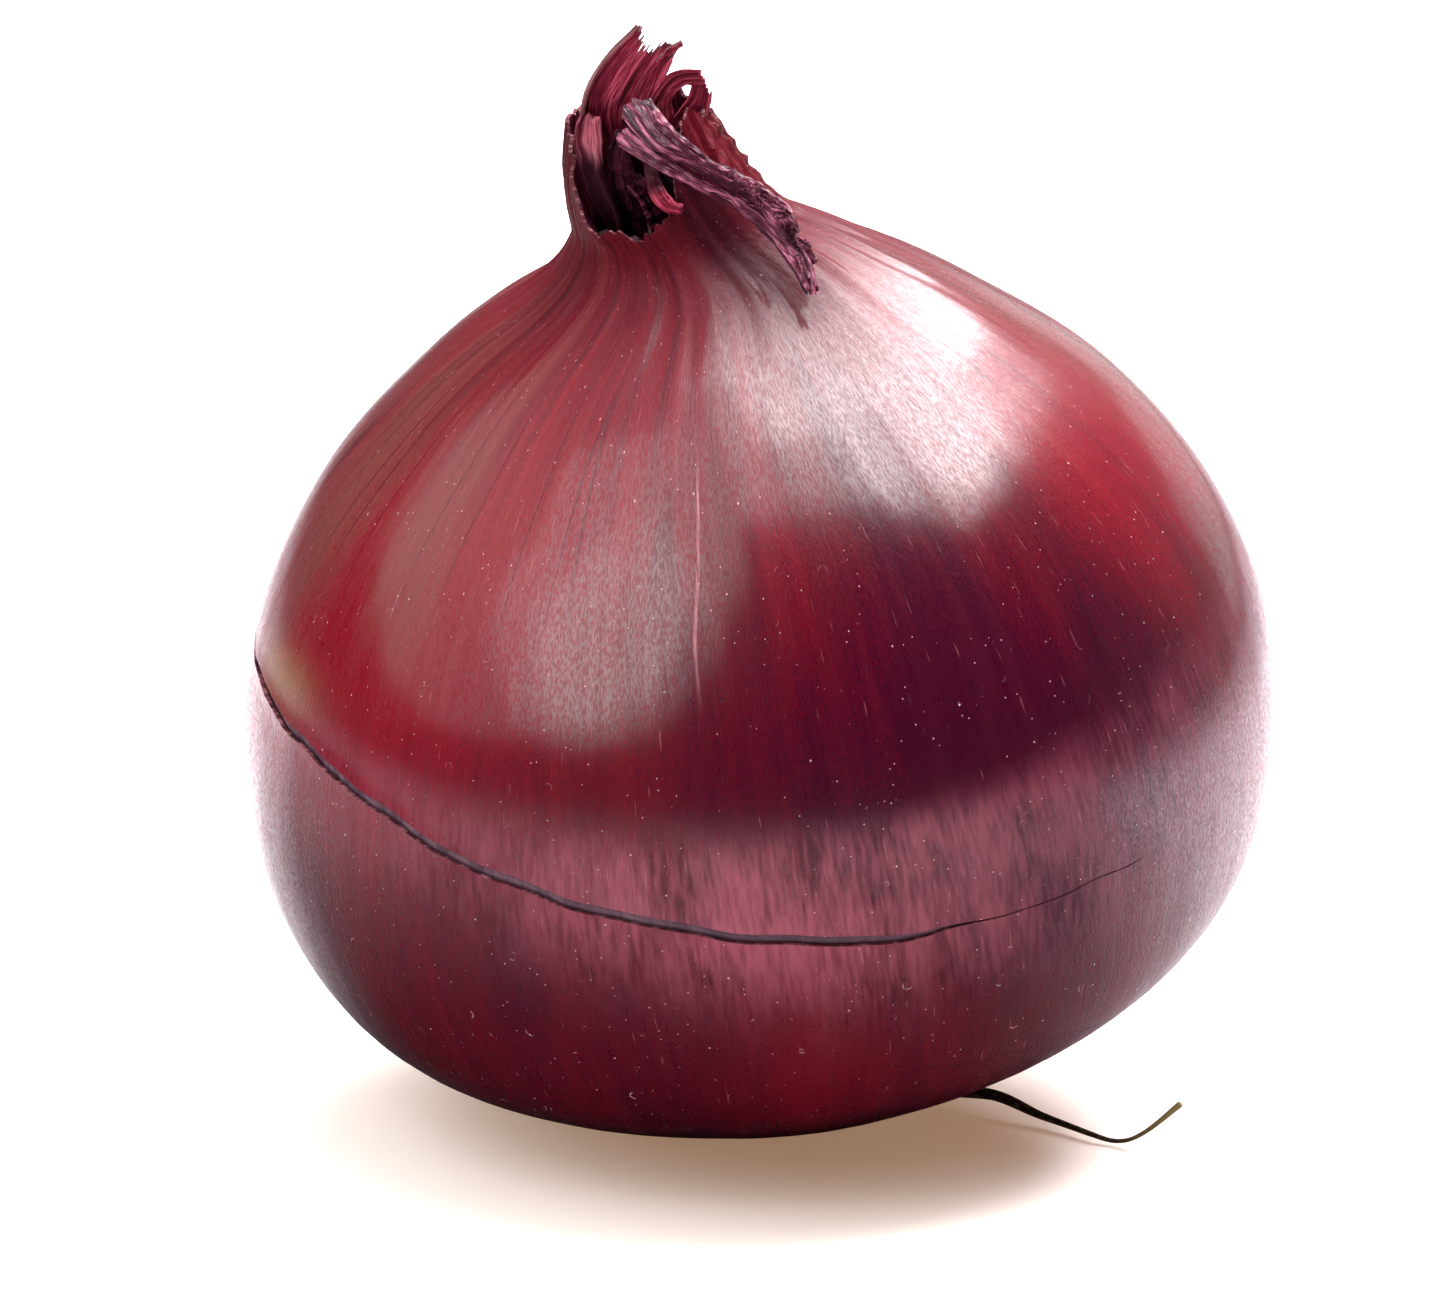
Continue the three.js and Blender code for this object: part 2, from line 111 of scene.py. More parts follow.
# The outline as tables over its arc length
outlineTable = curveThrough(onionShape["outline"], np.linspace(0, 1, 4001))
outlineTable[:, 0] *= onionShape["equatorRadius"]
outlineSlope = np.gradient(outlineTable[:, :2], axis=0)
outlineArc = np.concatenate([[0], np.cumsum(np.hypot(*np.diff(outlineTable[:, :2], axis=0).T))])
outlineNormal = unit(np.stack([outlineSlope[:, 1], -outlineSlope[:, 0]], -1))


def outlineAt(arc):
    # radius, height, shift and outward normal (radial, upward) where the outline has run that far
    columns = (*outlineTable.T, *outlineNormal.T)
    return [np.interp(arc, outlineArc, column) for column in columns]


def arcAtHeight(height):
    # how far the outline has run where it reaches a height, on its sides
    rising = outlineTable[:, 1] > onionShape["sideHeight"]
    return np.interp(height, outlineTable[rising, 1], outlineArc[rising])


def around(radius, azimuth, height, shift):
    # a circle of that radius about the shifted axis
    return together(shift + radius * np.sin(azimuth), -radius * np.cos(azimuth), height)


def chartOf(azimuth, height):
    # UV: the share of a turn, and height / 100
    return together(azimuth / (2 * np.pi) + 0.5, height / 100)


def leaningTurn():
    # a lean to the front, then one to the left
    left, forward = math.radians(pose["leanLeft"]), math.radians(pose["leanForward"])
    toLeft = np.array([
        [math.cos(left), 0, -math.sin(left)], [0, 1, 0], [math.sin(left), 0, math.cos(left)],
    ])
    toFront = np.array([
        [1, 0, 0], [0, math.cos(forward), -math.sin(forward)], [0, math.sin(forward), math.cos(forward)],
    ])
    return toLeft @ toFront


turn = leaningTurn()


def restingShift():
    # the centre of mass over the origin, and the lowest point of the skin flatDepth under the floor
    azimuth = np.linspace(0, 2 * np.pi, 181)
    radius, height, shift = outlineTable[:2000:4, :, None].transpose(1, 0, 2)
    lowest = (around(radius, azimuth, height, shift) @ turn.T)[..., 2].min()
    middle = turn @ [0, 0, pose["balanceHeight"]]
    return np.array([-middle[0], -middle[1], -lowest - pose["flatDepth"]])


shiftToRest = restingShift()


def toRest(points, floor=None):
    # the onion's own frame to the resting frame; what would go under the floor is flattened on it
    placed = points @ turn.T + shiftToRest
    if floor is not None:
        placed[..., 2] = np.maximum(placed[..., 2], floor)
    return placed


def fromRest(points):
    # the way back, where nothing was flattened
    return (np.asarray(points, float) - shiftToRest) @ turn


def gridQuads(grid):
    # the four corners of each cell of a grid, anticlockwise where columns run right and rows run up
    corners = [grid[:-1, :-1], grid[:-1, 1:], grid[1:, 1:], grid[1:, :-1]]
    flat = np.stack(corners, 2)
    return flat.reshape(-1, *flat.shape[2:])


class Piece:
    # Collects grids of points into one mesh, with the grain vector and a UV map that follow each surface
    def __init__(self, name):
        self.name = name
        self.points, self.grain, self.tint, self.marks = [], [], [], []
        self.faces, self.uvs, self.kinds = [], [], []
        self.count = 0

    def addPoints(self, points, grain, tint, marks=(0, 1, 0)):
        # keeps points with their vectors, and gives their numbers in the same grid
        shape = points.shape[:-1]
        self.points.append(points.reshape(-1, 3))
        self.grain.append(np.broadcast_to(grain, (*shape, 3)).reshape(-1, 3))
        self.tint.append(np.broadcast_to(tint, (*shape, 3)).reshape(-1, 3))
        self.marks.append(np.broadcast_to(marks, (*shape, 3)).reshape(-1, 3))
        numbers = self.count + np.arange(int(np.prod(shape))).reshape(shape)
        self.count += numbers.size
        return numbers

    def addQuads(self, numbers, uv, kind=0, flip=False):
        quads, corners = gridQuads(numbers), gridQuads(uv)
        # a cell whose lower side has closed to nothing is left out
        keep = (quads[:, 0] != quads[:, 3]) | (quads[:, 1] != quads[:, 2])
        quads, corners = quads[keep], corners[keep]
        if flip:
            quads, corners = quads[:, ::-1], corners[:, ::-1]
        self.faces += quads.tolist()
        self.uvs.append(corners.reshape(-1, 2))
        self.kinds += [kind] * len(quads)

    def addFan(self, ring, tip, kind=0, flip=False):
        # a ring of points closed to its tip
        fan = np.stack([ring[:-1], ring[1:], np.full(len(ring) - 1, tip)], -1)
        self.faces += (fan[:, ::-1] if flip else fan).tolist()
        self.uvs.append(np.zeros((fan.size, 2)))
        self.kinds += [kind] * len(fan)

    def finish(self, materials, nodes, slot, floor=None, sharpAngle=50):
        # the mesh at rest in metres, smooth up to the sharp angle, as one object
        mesh = bpy.data.meshes.new(self.name)
        placed = toRest(np.concatenate(self.points), floor) * mm
        mesh.from_pydata(placed.tolist(), [], self.faces)
        mesh.validate(clean_customdata=False)
        uvMap = mesh.uv_layers.new(name="along")
        uvMap.data.foreach_set("uv", np.concatenate(self.uvs).astype(np.float32).ravel())
        for label, values in (("grain", self.grain), ("tint", self.tint), ("marks", self.marks)):
            attribute = mesh.attributes.new(label, "FLOAT_VECTOR", "POINT")
            attribute.data.foreach_set("vector", np.concatenate(values).astype(np.float32).ravel())
        for material in materials:
            mesh.materials.append(material)
        mesh.polygons.foreach_set("material_index", self.kinds)
        mesh.shade_smooth()
        mesh.set_sharp_from_angle(angle=math.radians(sharpAngle))
        piece = bpy.data.objects.new(self.name, mesh)
        bpy.context.collection.objects.link(piece)
        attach(piece, "root")
        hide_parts(*nodes)
        triangles = sum(len(face) - 2 for face in self.faces)
        print(self.name, "made with", triangles, "triangles")
        return piece


def waves(azimuth, counts, seed):
    # a sum of sines round the onion, each with a drawn phase and a height that falls with its count
    draw = np.random.default_rng(seed)
    total = np.zeros_like(azimuth)
    for count in counts:
        total = total + np.sin(count * azimuth + draw.uniform(0, 2 * np.pi)) * (counts[0] / count) ** 0.5
    return total / len(counts) ** 0.5


skinLook = {
    "columns": 320,
    "lowerRows": 46,
    "upperRows": 40,
    "neckRows": 38,
    "thickness": 0.75,
    "edgeThickness": 0.3,
    "openingRadius": 5.7,  # round the root plate
    "pleatDepth": 0.22,
    "pleatCount": 7,
    "finePleatDepth": 0.16,
    "finePleatCounts": (17, 26, 37),
    "ribDepth": 0.025,
    "ribCounts": (9, 15, 22, 34, 53, 80),
    "dentDepth": 0.12,
    "wrinkleDepth": 0.24,
    "wrinkleSpacing": 1.6,
    "leftSpread": 36,  # degrees of the neck's left side, which bulges low down and is drawn in at the rim
    "leftBulge": (0.7, 71.5, 2.6),  # how far out, height, spread
    "leftDrawnIn": 0.5,
    "mouthFlare": 0.5,
    "flareAt": -25,  # degrees
    "flareFades": (20, 45),
    "flareSpread": 1.1,
    # how strongly the skin has lifted, with a painted reflection of the floor on it: everywhere, near the
    # front, right at the front, with spreads
    "looseSheenStrength": (0.14, 0.24, 80, 0.62, 26),
    # the lifted skin round the split carries a painted reflection of the floor
    "looseSheenEdge": 6.8,  # how far above the split it has lifted, in front, and how much more on the right
    "looseSheenTilt": 6,
    "looseSheenBelow": 5.4,
    # the split: azimuth in degrees and height; it is closed behind the first and last open azimuth
    "split": [
        (-180, 39), (-135, 42.4), (-96, 43.9), (-76, 43.6), (-52, 41.5), (-30, 37.4), (-11, 34), (8, 31.1),
        (24, 30), (44, 29.6), (75, 30), (120, 33), (180, 39),
    ],
    "splitOpen": (-94, 42),
    "splitWidens": 22,  # over how many degrees from its left end
    "splitNarrows": (8, 24),
    "splitWidth": 0.8,
    "hairWidth": 0.1,
    "lipLift": 0.12,
    "lipSpread": 0.9,
    "rimSpread": 1.2,
    "rowCrowding": (0.65, 2.2),  # how the rows crowd together at the split: share and power
    # patches of the tint and the marks: azimuth and spread, then the heights between which each begins
    "warmLeft": (-75, 62, 28, 58),
    "warmRight": (84, 36, 36, 54),
    "warmRightShare": 0.8,
    "darkLeft": (-95, 36, 74, 77),
    "darkLeftShare": 0.7,
    # painted shadow under the hanging leaf beside the mouth, partly a stain
    "darkRight": (26, 28, 65, 71.5),
    "darkRightShare": 0.95,
    "darkRightEnds": (77, 81),
    # azimuth and spread, height and spread
    "deep": (28, 44, 40, 16),
    "olive": (-70, 9, 45.5, 1.8),
}


def rimAt(azimuth):
    # high at the back, dropping into a wide mouth at the front, and ragged all round
    degrees = np.degrees(np.arctan2(np.sin(azimuth), np.cos(azimuth)))
    left, right, slope = (onionShape[key] for key in ("mouthLeft", "mouthRight", "mouthSlope"))
    mouth = ease(left - slope, left + slope, degrees) * (1 - ease(right - slope, right + slope, degrees))
    lower = sum(drop * bell(degrees, middle, spread) for drop, middle, spread in onionShape["rimDrops"])
    wave = onionShape["rimWave"] * (np.sin(6 * azimuth + 1) + 0.7 * np.sin(13 * azimuth + 2))
    wave = wave + onionShape["rimTeeth"] * waves(azimuth, onionShape["rimTeethCounts"], 4)
    return onionShape["rimHeight"] - onionShape["mouthDrop"] * mouth - lower + wave


def neckWrinkles(azimuth, height):
    # wrinkles that run across the right side of the neck, between -1 and 1
    phase = 2.4 * np.sin(3 * azimuth) + 1.3 * np.sin(7 * azimuth + height / 2)
    across = np.sin(2 * np.pi * height / skinLook["wrinkleSpacing"] + phase)
    across = across * (0.6 + 0.4 * np.sin(11 * azimuth + height))
    side = ease(40, 70, np.degrees(azimuth)) * (1 - ease(130, 165, np.degrees(azimuth)))
    return across * side * ease(70.5, 74, height)


def skinRelief(azimuth, height):
    # pleats that deepen up the neck, faint ribs along the whole skin, shallow dents, and wrinkles
    # that run across the right side of the neck
    look = skinLook
    inNeck = ease(61, 74, height)
    pleats = look["pleatDepth"] * inNeck * np.cos(look["pleatCount"] * azimuth + 0.9 * np.sin(2 * azimuth))
    fine = look["finePleatDepth"] * ease(63, 74, height) * waves(azimuth, look["finePleatCounts"], 8)
    ribs = look["ribDepth"] * waves(azimuth + 0.02 * np.sin(height / 11), look["ribCounts"], 2)
    dents = look["dentDepth"] * np.sin(3 * azimuth + height / 13) * np.sin(2 * azimuth - height / 17 + 1)
    wrinkles = look["wrinkleDepth"] * neckWrinkles(azimuth, height)
    # the neck stands steeper on its left, fuller below and drawn in at the rim
    bulge, middle, spread = look["leftBulge"]
    left = bulge * bell(height, middle, spread) - look["leftDrawnIn"] * ease(76, 80, height)
    left = left * bell(np.degrees(azimuth), -90, look["leftSpread"])
    return pleats + fine + ribs * (1 - 0.6 * inNeck) + dents * ease(2, 14, height) + wrinkles + left


def splitAt(azimuth):
    # the height of the split at an azimuth, a smooth curve with a small wiggle
    path = curveThrough(skinLook["split"], np.linspace(0, 1, 600))
    wiggle = 0.1 * np.sin(23 * azimuth) + 0.06 * np.sin(41 * azimuth + 1)
    return np.interp(np.degrees(azimuth), path[:, 0], path[:, 1]) + wiggle


def patch(degrees, height, middle, spread, low, high):
    # a bell round the onion, which begins between two heights
    return bell(degrees, middle, spread) * ease(low, high, height)


def spot(degrees, height, middle, spread, level, reach):
    # a bell round the onion and up it
    return bell(degrees, middle, spread) * bell(height, level, reach)


def skinTint(azimuth, height):
    # warm: brick red towards the upper left; deep: purple right of the middle; dry: dull at neck and base
    look = skinLook
    degrees = np.degrees(azimuth)
    warm = patch(degrees, height, *look["warmLeft"])
    warm = warm + look["warmRightShare"] * patch(degrees, height, *look["warmRight"])
    deep = spot(degrees, height, *look["deep"])
    # the crests of the neck's wrinkles are glossier, and drawn redder than the troughs as a painted
    # highlight
    crests = ease(0, 0.8, neckWrinkles(azimuth, height))
    dry = np.maximum(ease(61, 72, height) - 0.7 * crests, 1 - ease(2, 16, height))
    return together(warm, deep, dry)


def skinMarks(azimuth, height, fromSplit):
    # first: where the skin has lifted, mostly under the split, with a painted reflection of the floor on
    # it, a pale mauve sheen strongest at the front; the distance from the split in centimetres; third: over
    # 0, the olive patch at the split's left end; under 0, darker skin at the rim's left and a painted
    # shadow under the hanging leaf beside the mouth, partly a stain
    look = skinLook
    degrees = np.degrees(azimuth)
    edge = look["looseSheenEdge"] + look["looseSheenTilt"] * np.sin(azimuth)
    below = bell(fromSplit, 0, look["looseSheenBelow"])
    everywhere, near, nearSpread, front, frontSpread = look["looseSheenStrength"]
    loose = np.where(fromSplit > 0, ease(edge + 2, edge - 2, fromSplit), below)
    side = everywhere + near * bell(degrees, 0, nearSpread) + front * bell(degrees, 0, frontSpread)
    loose = loose * side
    olive = spot(degrees, height, *look["olive"])
    darkLeft = look["darkLeftShare"] * patch(degrees, height, *look["darkLeft"])
    darkRight = look["darkRightShare"] * patch(degrees, height, *look["darkRight"])
    darkRight = darkRight * (1 - ease(*look["darkRightEnds"], height))
    return together(loose, fromSplit / 10, olive - darkLeft - darkRight)


def surfacePoints(arc, azimuth, inset):
    # a point of the skin: the outline, its relief, and an inset along the outline's normal
    radius, height, shift, outward, upward = outlineAt(arc)
    lift = skinRelief(azimuth, height) - inset
    return radius + lift * outward, height + lift * upward, shift


def lipRows(count):
    # shares from 0 to 1 that crowd together towards 1, where the split is
    left = np.linspace(1, 0, count)
    crowding, power = skinLook["rowCrowding"]
    return 1 - (1 - crowding) * left - crowding * left**power


def isSplitOpen(azimuth):
    # true between the first and the last open azimuth
    firstOpen, lastOpen = np.radians(skinLook["splitOpen"])
    return (azimuth > firstOpen) & (azimuth < lastOpen)


def makeSkin(materials):
    # two sheets, below and above the split, each with an outer and an inner face that edges join
    look = skinLook
    azimuth = np.linspace(-np.pi, np.pi, look["columns"] + 1)
    splitArc = arcAtHeight(splitAt(azimuth))
    firstOpen = look["splitOpen"][0]
    degrees = np.degrees(azimuth)
    openness = ease(firstOpen, firstOpen + look["splitWidens"], degrees)
    openness = openness * (1 - ease(*look["splitNarrows"], degrees))
    width = look["hairWidth"] + (look["splitWidth"] - look["hairWidth"]) * openness
    isOpen = isSplitOpen(azimuth)
    halfWidth = np.where(isOpen, width / 2, 0)
    neckArc = arcAtHeight(onionShape["neckHeight"])
    rimArc = arcAtHeight(rimAt(azimuth))
    down = lipRows(look["lowerRows"])[:, None]
    up = lipRows(look["upperRows"])[::-1][:, None]
    climb = np.linspace(0, 1, look["neckRows"] + 1)[1:, None]
    lower = look["openingRadius"] + (splitArc - halfWidth - look["openingRadius"]) * down
    upper = neckArc - (neckArc - splitArc - halfWidth) * up
    neck = neckArc + (rimArc - neckArc) * climb
    sheets = {"lower": lower, "upper": np.vstack([upper, neck])}
    piece = Piece("outerSkin")
    numbers, charts = {}, {}
    for side, arc in sheets.items():
        fromSplit = np.abs(arc - splitArc)
        nearLip = isOpen * openness * bell(fromSplit, 0, look["lipSpread"])
        toRim = rimArc - arc
        nearRim = bell(toRim, 0, look["rimSpread"])
        thinner = (look["thickness"] - look["edgeThickness"]) * np.maximum(nearLip, nearRim)
        thin = look["thickness"] - thinner
        mouth = 1 - ease(*look["flareFades"], np.abs(degrees - look["flareAt"]))
        lift = look["lipLift"] * nearLip + look["mouthFlare"] * mouth * bell(toRim, 0, look["flareSpread"])
        for face, inset in (("outer", -lift), ("inner", thin - lift)):
            radius, height, shift = surfacePoints(arc, azimuth, inset)
            points = around(radius, azimuth, height, shift)
            grain = together(np.sin(azimuth), -np.cos(azimuth), height / 40)
            tint = skinTint(azimuth, height)
            marks = skinMarks(azimuth, height, arc - splitArc)
            grid = piece.addPoints(points[:, :-1], grain[:, :-1], tint[:, :-1], marks[:, :-1])
            numbers[side, face] = np.hstack([grid, grid[:, :1]])
            charts[side, face] = chartOf(azimuth, height)
    closed = ~isOpen
    for face in ("outer", "inner"):
        numbers["upper", face][0, closed] = numbers["lower", face][-1, closed]
    for side in sheets:
        piece.addQuads(numbers[side, "outer"], charts[side, "outer"])
        piece.addQuads(numbers[side, "inner"], charts[side, "inner"], kind=1, flip=True)
    edges = [
        (("upper", "outer"), ("upper", "inner"), -1, np.ones_like(isOpen)),
        (("lower", "inner"), ("lower", "outer"), 0, np.ones_like(isOpen)),
        (("lower", "outer"), ("lower", "inner"), -1, isOpen),
        (("upper", "inner"), ("upper", "outer"), 0, isOpen),
    ]
    for first, second, row, where in edges:
        for column in np.nonzero(where[:-1] | where[1:])[0]:
            pair = [numbers[key][row, column:column + 2] for key in (first, second)]
            chart = [charts[key][row, column:column + 2] for key in (first, second)]
            piece.addQuads(np.array(pair), np.array(chart), kind=2)
    addStrip(piece, *tornLip)
    return piece.finish(materials, ["outer_skin"], "dry_skin", floor=0)


bulbLook = {
    "columns": 200,
    "rows": 46,
    "inset": 1.1,
    "firstArc": 1.2,  # how far out the side begins, under the root plate
    "ridge": 0.9,  # how far it comes up into the split
    "ridgeWidth": 0.9,
    "foldHeight": 0.5,  # of the dried layers in the throat's floor
    "foldCount": 3.5,
    "floorRows": 25,
    "rippleDepth": 0.03,  # beside the split
    "lowest": 1.1,  # above the floor, inside the skin
}


def makeBulb(materials):
    # the outline drawn in under the skin, closed by a ridged floor in the throat
    look = bulbLook
    azimuth = np.linspace(-np.pi, np.pi, look["columns"] + 1)
    splitArc = arcAtHeight(splitAt(azimuth))
    top = arcAtHeight(onionShape["throatHeight"])
    lower = look["firstArc"] + (splitArc - look["firstArc"]) * lipRows(look["rows"])[:, None]
    upper = top - (top - splitArc) * lipRows(look["rows"])[::-1][1:, None]
    arc = np.vstack([lower, upper])
    radius, height, shift, outward, upward = outlineAt(arc)
    ridge = look["ridge"] * isSplitOpen(azimuth) * bell(arc, splitArc, look["ridgeWidth"])
    ripple = 1 - ease(0.6, 2, np.abs(arc - splitArc))
    ripple = look["rippleDepth"] * ripple * np.sin(57 * azimuth + 3 * np.sin(19 * azimuth))
    relief = skinRelief(azimuth, height)
    lift = np.where(height < 60, 1, 0.7) * relief - look["inset"] + ridge + ripple
    sides = around(radius + lift * outward, azimuth, height + lift * upward, shift)
    share = np.linspace(1, 0.05, look["floorRows"] + 1)[1:, None]
    middle = sides[-1].mean(0)
    spiral = np.sin(2 * np.pi * look["foldCount"] * share + azimuth + 0.5 * np.sin(2 * azimuth))
    floorPoints = middle + (sides[-1] - middle) * share[..., None]
    floorPoints[..., 2] += look["foldHeight"] * spiral * ease(1, 0.8, share) * ease(0, 0.3, share)
    points = np.concatenate([sides, floorPoints])
    piece = Piece("bulb")
    grain = together(np.sin(azimuth), -np.cos(azimuth), points[..., 2] / 40)
    tint = skinTint(azimuth, points[..., 2])
    grid = piece.addPoints(points[:, :-1], grain[:, :-1], tint[:, :-1])
    grid = np.hstack([grid, grid[:, :1]])
    piece.addQuads(grid, chartOf(azimuth, points[..., 2]))
    tips = piece.addPoints(np.array([[0, 0, look["inset"]], middle]), (0, 0, 0), (0, 0, 1))
    piece.addFan(grid[0], tips[0], flip=True)
    piece.addFan(grid[-1], tips[1])
    return piece.finish(materials, ["bulb"], "under_skin", floor=look["lowest"])


def stripSheets(rows, strip):
    # A strip carried along a path, both of its faces as grids. Across the strip the surface turns by the
    # curl, by lengthwise folds that wander along it, and by the hem that folds over at its left edge; its
    # points are the running sum of those turns. The end is torn: each column stops at its own share.
    rows = np.asarray(rows, float)
    draw = np.random.default_rng(strip["seed"])
    columns = np.linspace(-1 - strip["hem"], 1, strip["columns"] + 1)
    count = len(columns)
    bays = np.interp(np.linspace(0, 5, count), np.arange(6), draw.uniform(0, 1, 6))
    torn = bays + strip["teeth"] * draw.uniform(-1, 1, count)
    share = np.linspace(0.005, 1, strip["steps"] + 1)[:, None]
    share = share * (1 - strip["torn"] * np.clip(torn, 0.06, 1.3))
    path = curveThrough(rows[:, :3], share)
    forward = unit(curveThrough(rows[:, :3], share + 0.004) - curveThrough(rows[:, :3], share - 0.004))
    across = curveThrough(rows[:, 4:7], share)
    across = unit(across - (across * forward).sum(-1, keepdims=True) * forward)
    face = -np.cross(forward, across)
    reach = curveThrough(rows[:, 3:4], share)[..., 0]
    edge = np.abs(columns) ** 3
    notches = np.interp(share, np.linspace(0, 1, 60), draw.uniform(-1, 1, 60))
    reach = reach * (1 + strip["ragged"] * edge * notches)
    angle = strip["curl"] / 2 * np.clip(columns, -1, 1) - strip["hemTurn"] * ease(0.9, 1.15, -columns)
    wander = 2 * np.pi * strip["twist"] * share + 0.8 * np.sin(7 * share + strip["seed"])
    angle = angle + strip["fold"] * np.cos(strip["folds"] * np.pi * columns + wander)
    step = reach * (columns[1] - columns[0])
    middle = np.abs(columns).argmin()
    spread = np.cumsum(np.cos(angle) * step, axis=1)
    bow = np.cumsum(np.sin(angle) * step, axis=1)
    spread, bow = spread - spread[:, middle:middle + 1], bow - bow[:, middle:middle + 1]
    phase = strip["wrinkles"] * share * np.pi
    wrinkle = np.sin(phase + 2.2 * columns) + 0.5 * np.sin(2.7 * phase - 3.1 * columns + 1)
    wrinkle = strip["wrinkle"] * wrinkle
    ridges = sum(np.sin(many * columns + 9 * share + draw.uniform(0, 6)) for many in (9, 16, 27)) / 3
    ridges = strip["ridge"] * ridges * (0.55 + 0.45 * np.sin(13 * share * np.pi + 4 * columns))
    centre = path + across * spread[..., None] + face * (bow + wrinkle)[..., None]
    normal = face * np.cos(angle)[..., None] - across * np.sin(angle)[..., None]
    half = strip["thickness"] / 2 * (1 - 0.6 * np.clip(np.abs(columns), 0, 1) ** 8)
    front = centre + normal * (half + ridges)[..., None]
    back = centre - normal * (half - ridges)[..., None]
    return front, back, together(columns / 2 + 0.5, share)


def addStrip(piece, rows, strip):
    # both faces of a strip, joined along its four edges; the grain runs along it, at the size that it has
    # round the onion
    front, back, chart = stripSheets(rows, strip)
    length = np.linalg.norm(np.diff(np.asarray(rows, float)[:, :3], axis=0), axis=1).sum()
    grain = together(chart[..., 0] * rows[1][3] / 20, 0.37 * strip["seed"], chart[..., 1] * length / 40)
    # the third tint: 1 where the throat's painted shade lies, fading out along the strip
    tint = together(0, 0, 1 - ease(0.6 * strip["base"], strip["base"], chart[..., 1]))
    kinds = strip["kinds"]
    frontGrid = piece.addPoints(front, grain, tint)
    backGrid = piece.addPoints(back, grain, tint)
    piece.addQuads(frontGrid, chart, kind=kinds[0])
    piece.addQuads(backGrid, chart, kind=kinds[1], flip=True)
    sides = [
        (frontGrid[:, 0], backGrid[:, 0], True), (frontGrid[:, -1], backGrid[:, -1], False),
        (frontGrid[0], backGrid[0], False), (frontGrid[-1], backGrid[-1], True),
    ]
    for frontEdge, backEdge, flip in sides:
        pair = np.stack([frontEdge, backEdge], 0)
        piece.addQuads(pair, np.zeros((*pair.shape, 2)), kind=kinds[1], flip=flip)


# What a strip is made with: its grid, its seed, its torn end, its ragged edges, the hem folded over at its
# left, lengthwise folds that wander, wrinkles across and fine ridges along it
plainStrip = {
    "columns": 30, "steps": 80, "seed": 1, "thickness": 0.3, "curl": 1.2, "torn": 0.1, "teeth": 0.25,
    "ragged": 0.1, "hem": 0, "hemTurn": 0, "fold": 0.25, "folds": 1.7, "twist": 0.2, "wrinkle": 0.08,
    "wrinkles": 6, "ridge": 0.05,
    # base: the share painted with the throat's shade
    "base": 0.3,  # the share of its length that is dark, down in the throat
    "kinds": (0, 1),  # the materials of its front and its back
}
crumpledStrip = {
    **plainStrip, "thickness": 0.4, "curl": 1.6, "torn": 0.05, "ragged": 0.22, "fold": 0.75, "folds": 2.6,
    "twist": 0.9, "wrinkle": 0.13, "wrinkles": 12, "ridge": 0.15, "steps": 300, "base": 0.12,
    "kinds": (0, 0),
}


def plain(*rows, **changes):
    # a strip's rows (x, y, z, half width and the direction across) and what it is made with
    return rows, {**plainStrip, **changes}


def crumpled(*rows, **changes):
    return rows, {**crumpledStrip, **changes}


# A torn bit of the skin, curled over at the mouth's right
tornLip = plain(
    (-1.9, -5.4, 79.6, 0.5, 1, 0.4, 0), (-1.9, -6, 78.2, 0.6, 1, 0.4, 0),
    (-1.6, -6.6, 76.9, 0.75, 1, 0.2, 0.2), (-0.9, -7.1, 76, 0.6, 0.6, 0, 0.7),
    (0, -7.4, 75.7, 0.4, 0.3, 0, 0.9),
    curl=2.6, seed=17, columns=26, steps=60, torn=0.06, fold=0.4, teeth=0.4, base=0.6, kinds=(3, 3),
)

topLeaf = {
    "node": "top_leaf",
    "slot": "dry_leaf",
    "strips": [
        plain(
            (-2.6, 1.2, 72, 1.6, 1, 0, 0), (-3.6, 0.8, 77, 2.0, 1, 0, 0), (-4.3, 0, 81, 2.6, 1, 0.1, -0.15),
            (-2.9, -0.3, 83.8, 2.6, 0.75, 0.1, -0.6), (-0.1, -0.1, 86.9, 1.9, 0.65, 0.2, -0.7),
            curl=0.5, hem=0.16, hemTurn=2.9, torn=0.12, teeth=0.35, seed=3, columns=64, wrinkle=0.05,
            fold=0.12, base=0.4,
        ),
        # a thin spike beside its torn tip
        plain(
            (-1.6, 0.6, 81.5, 0.9, 1, 0, -0.3), (-0.6, 0.2, 84, 0.7, 0.8, 0.1, -0.5),
            (0.4, 0, 85.4, 0.4, 0.7, 0.1, -0.7), (1.6, 0, 86, 0.28, 0.5, 0.1, -0.8),
            curl=2.0, seed=11, columns=14, steps=50, fold=0.6, torn=0.2, teeth=0.5,
        ),
    ],
}

# Two lobes that part round a hole and meet again
sideLeaf = {
    "node": "side_leaf",
    "slot": "dry_leaf",
    "strips": [
        plain(
            (-0.7, 1.6, 72, 1.5, 1, 0, 0), (-1, 0.6, 77.5, 1.7, 1, 0, 0), (-1, -0.6, 80.6, 1.4, 1, 0, -0.2),
            (-0.4, -0.9, 82.5, 0.75, 0.9, 0, -0.6), (1.0, -0.9, 83.6, 0.7, 0.6, 0, -0.9),
            (2.9, -0.9, 83.4, 0.6, 0.5, 0, -1),
            curl=0.9, seed=5, torn=0.06, ragged=0.25, fold=0.45, folds=3.1, base=0.45,
        ),
        plain(
            (0.9, 1.5, 72, 1.5, 1, 0, 0), (0.5, 0.4, 77.5, 1.3, 1, 0, 0), (0.9, -0.5, 80, 1.1, 1, 0, -0.2),
            (2.0, -0.8, 81.4, 1.0, 0.85, 0, -0.5), (2.8, -0.9, 83.4, 0.75, 0.9, 0, -0.3),
            curl=1.0, seed=6, torn=0.14, ragged=0.25, fold=0.5, folds=3.4, base=0.45,
        ),
    ],
}

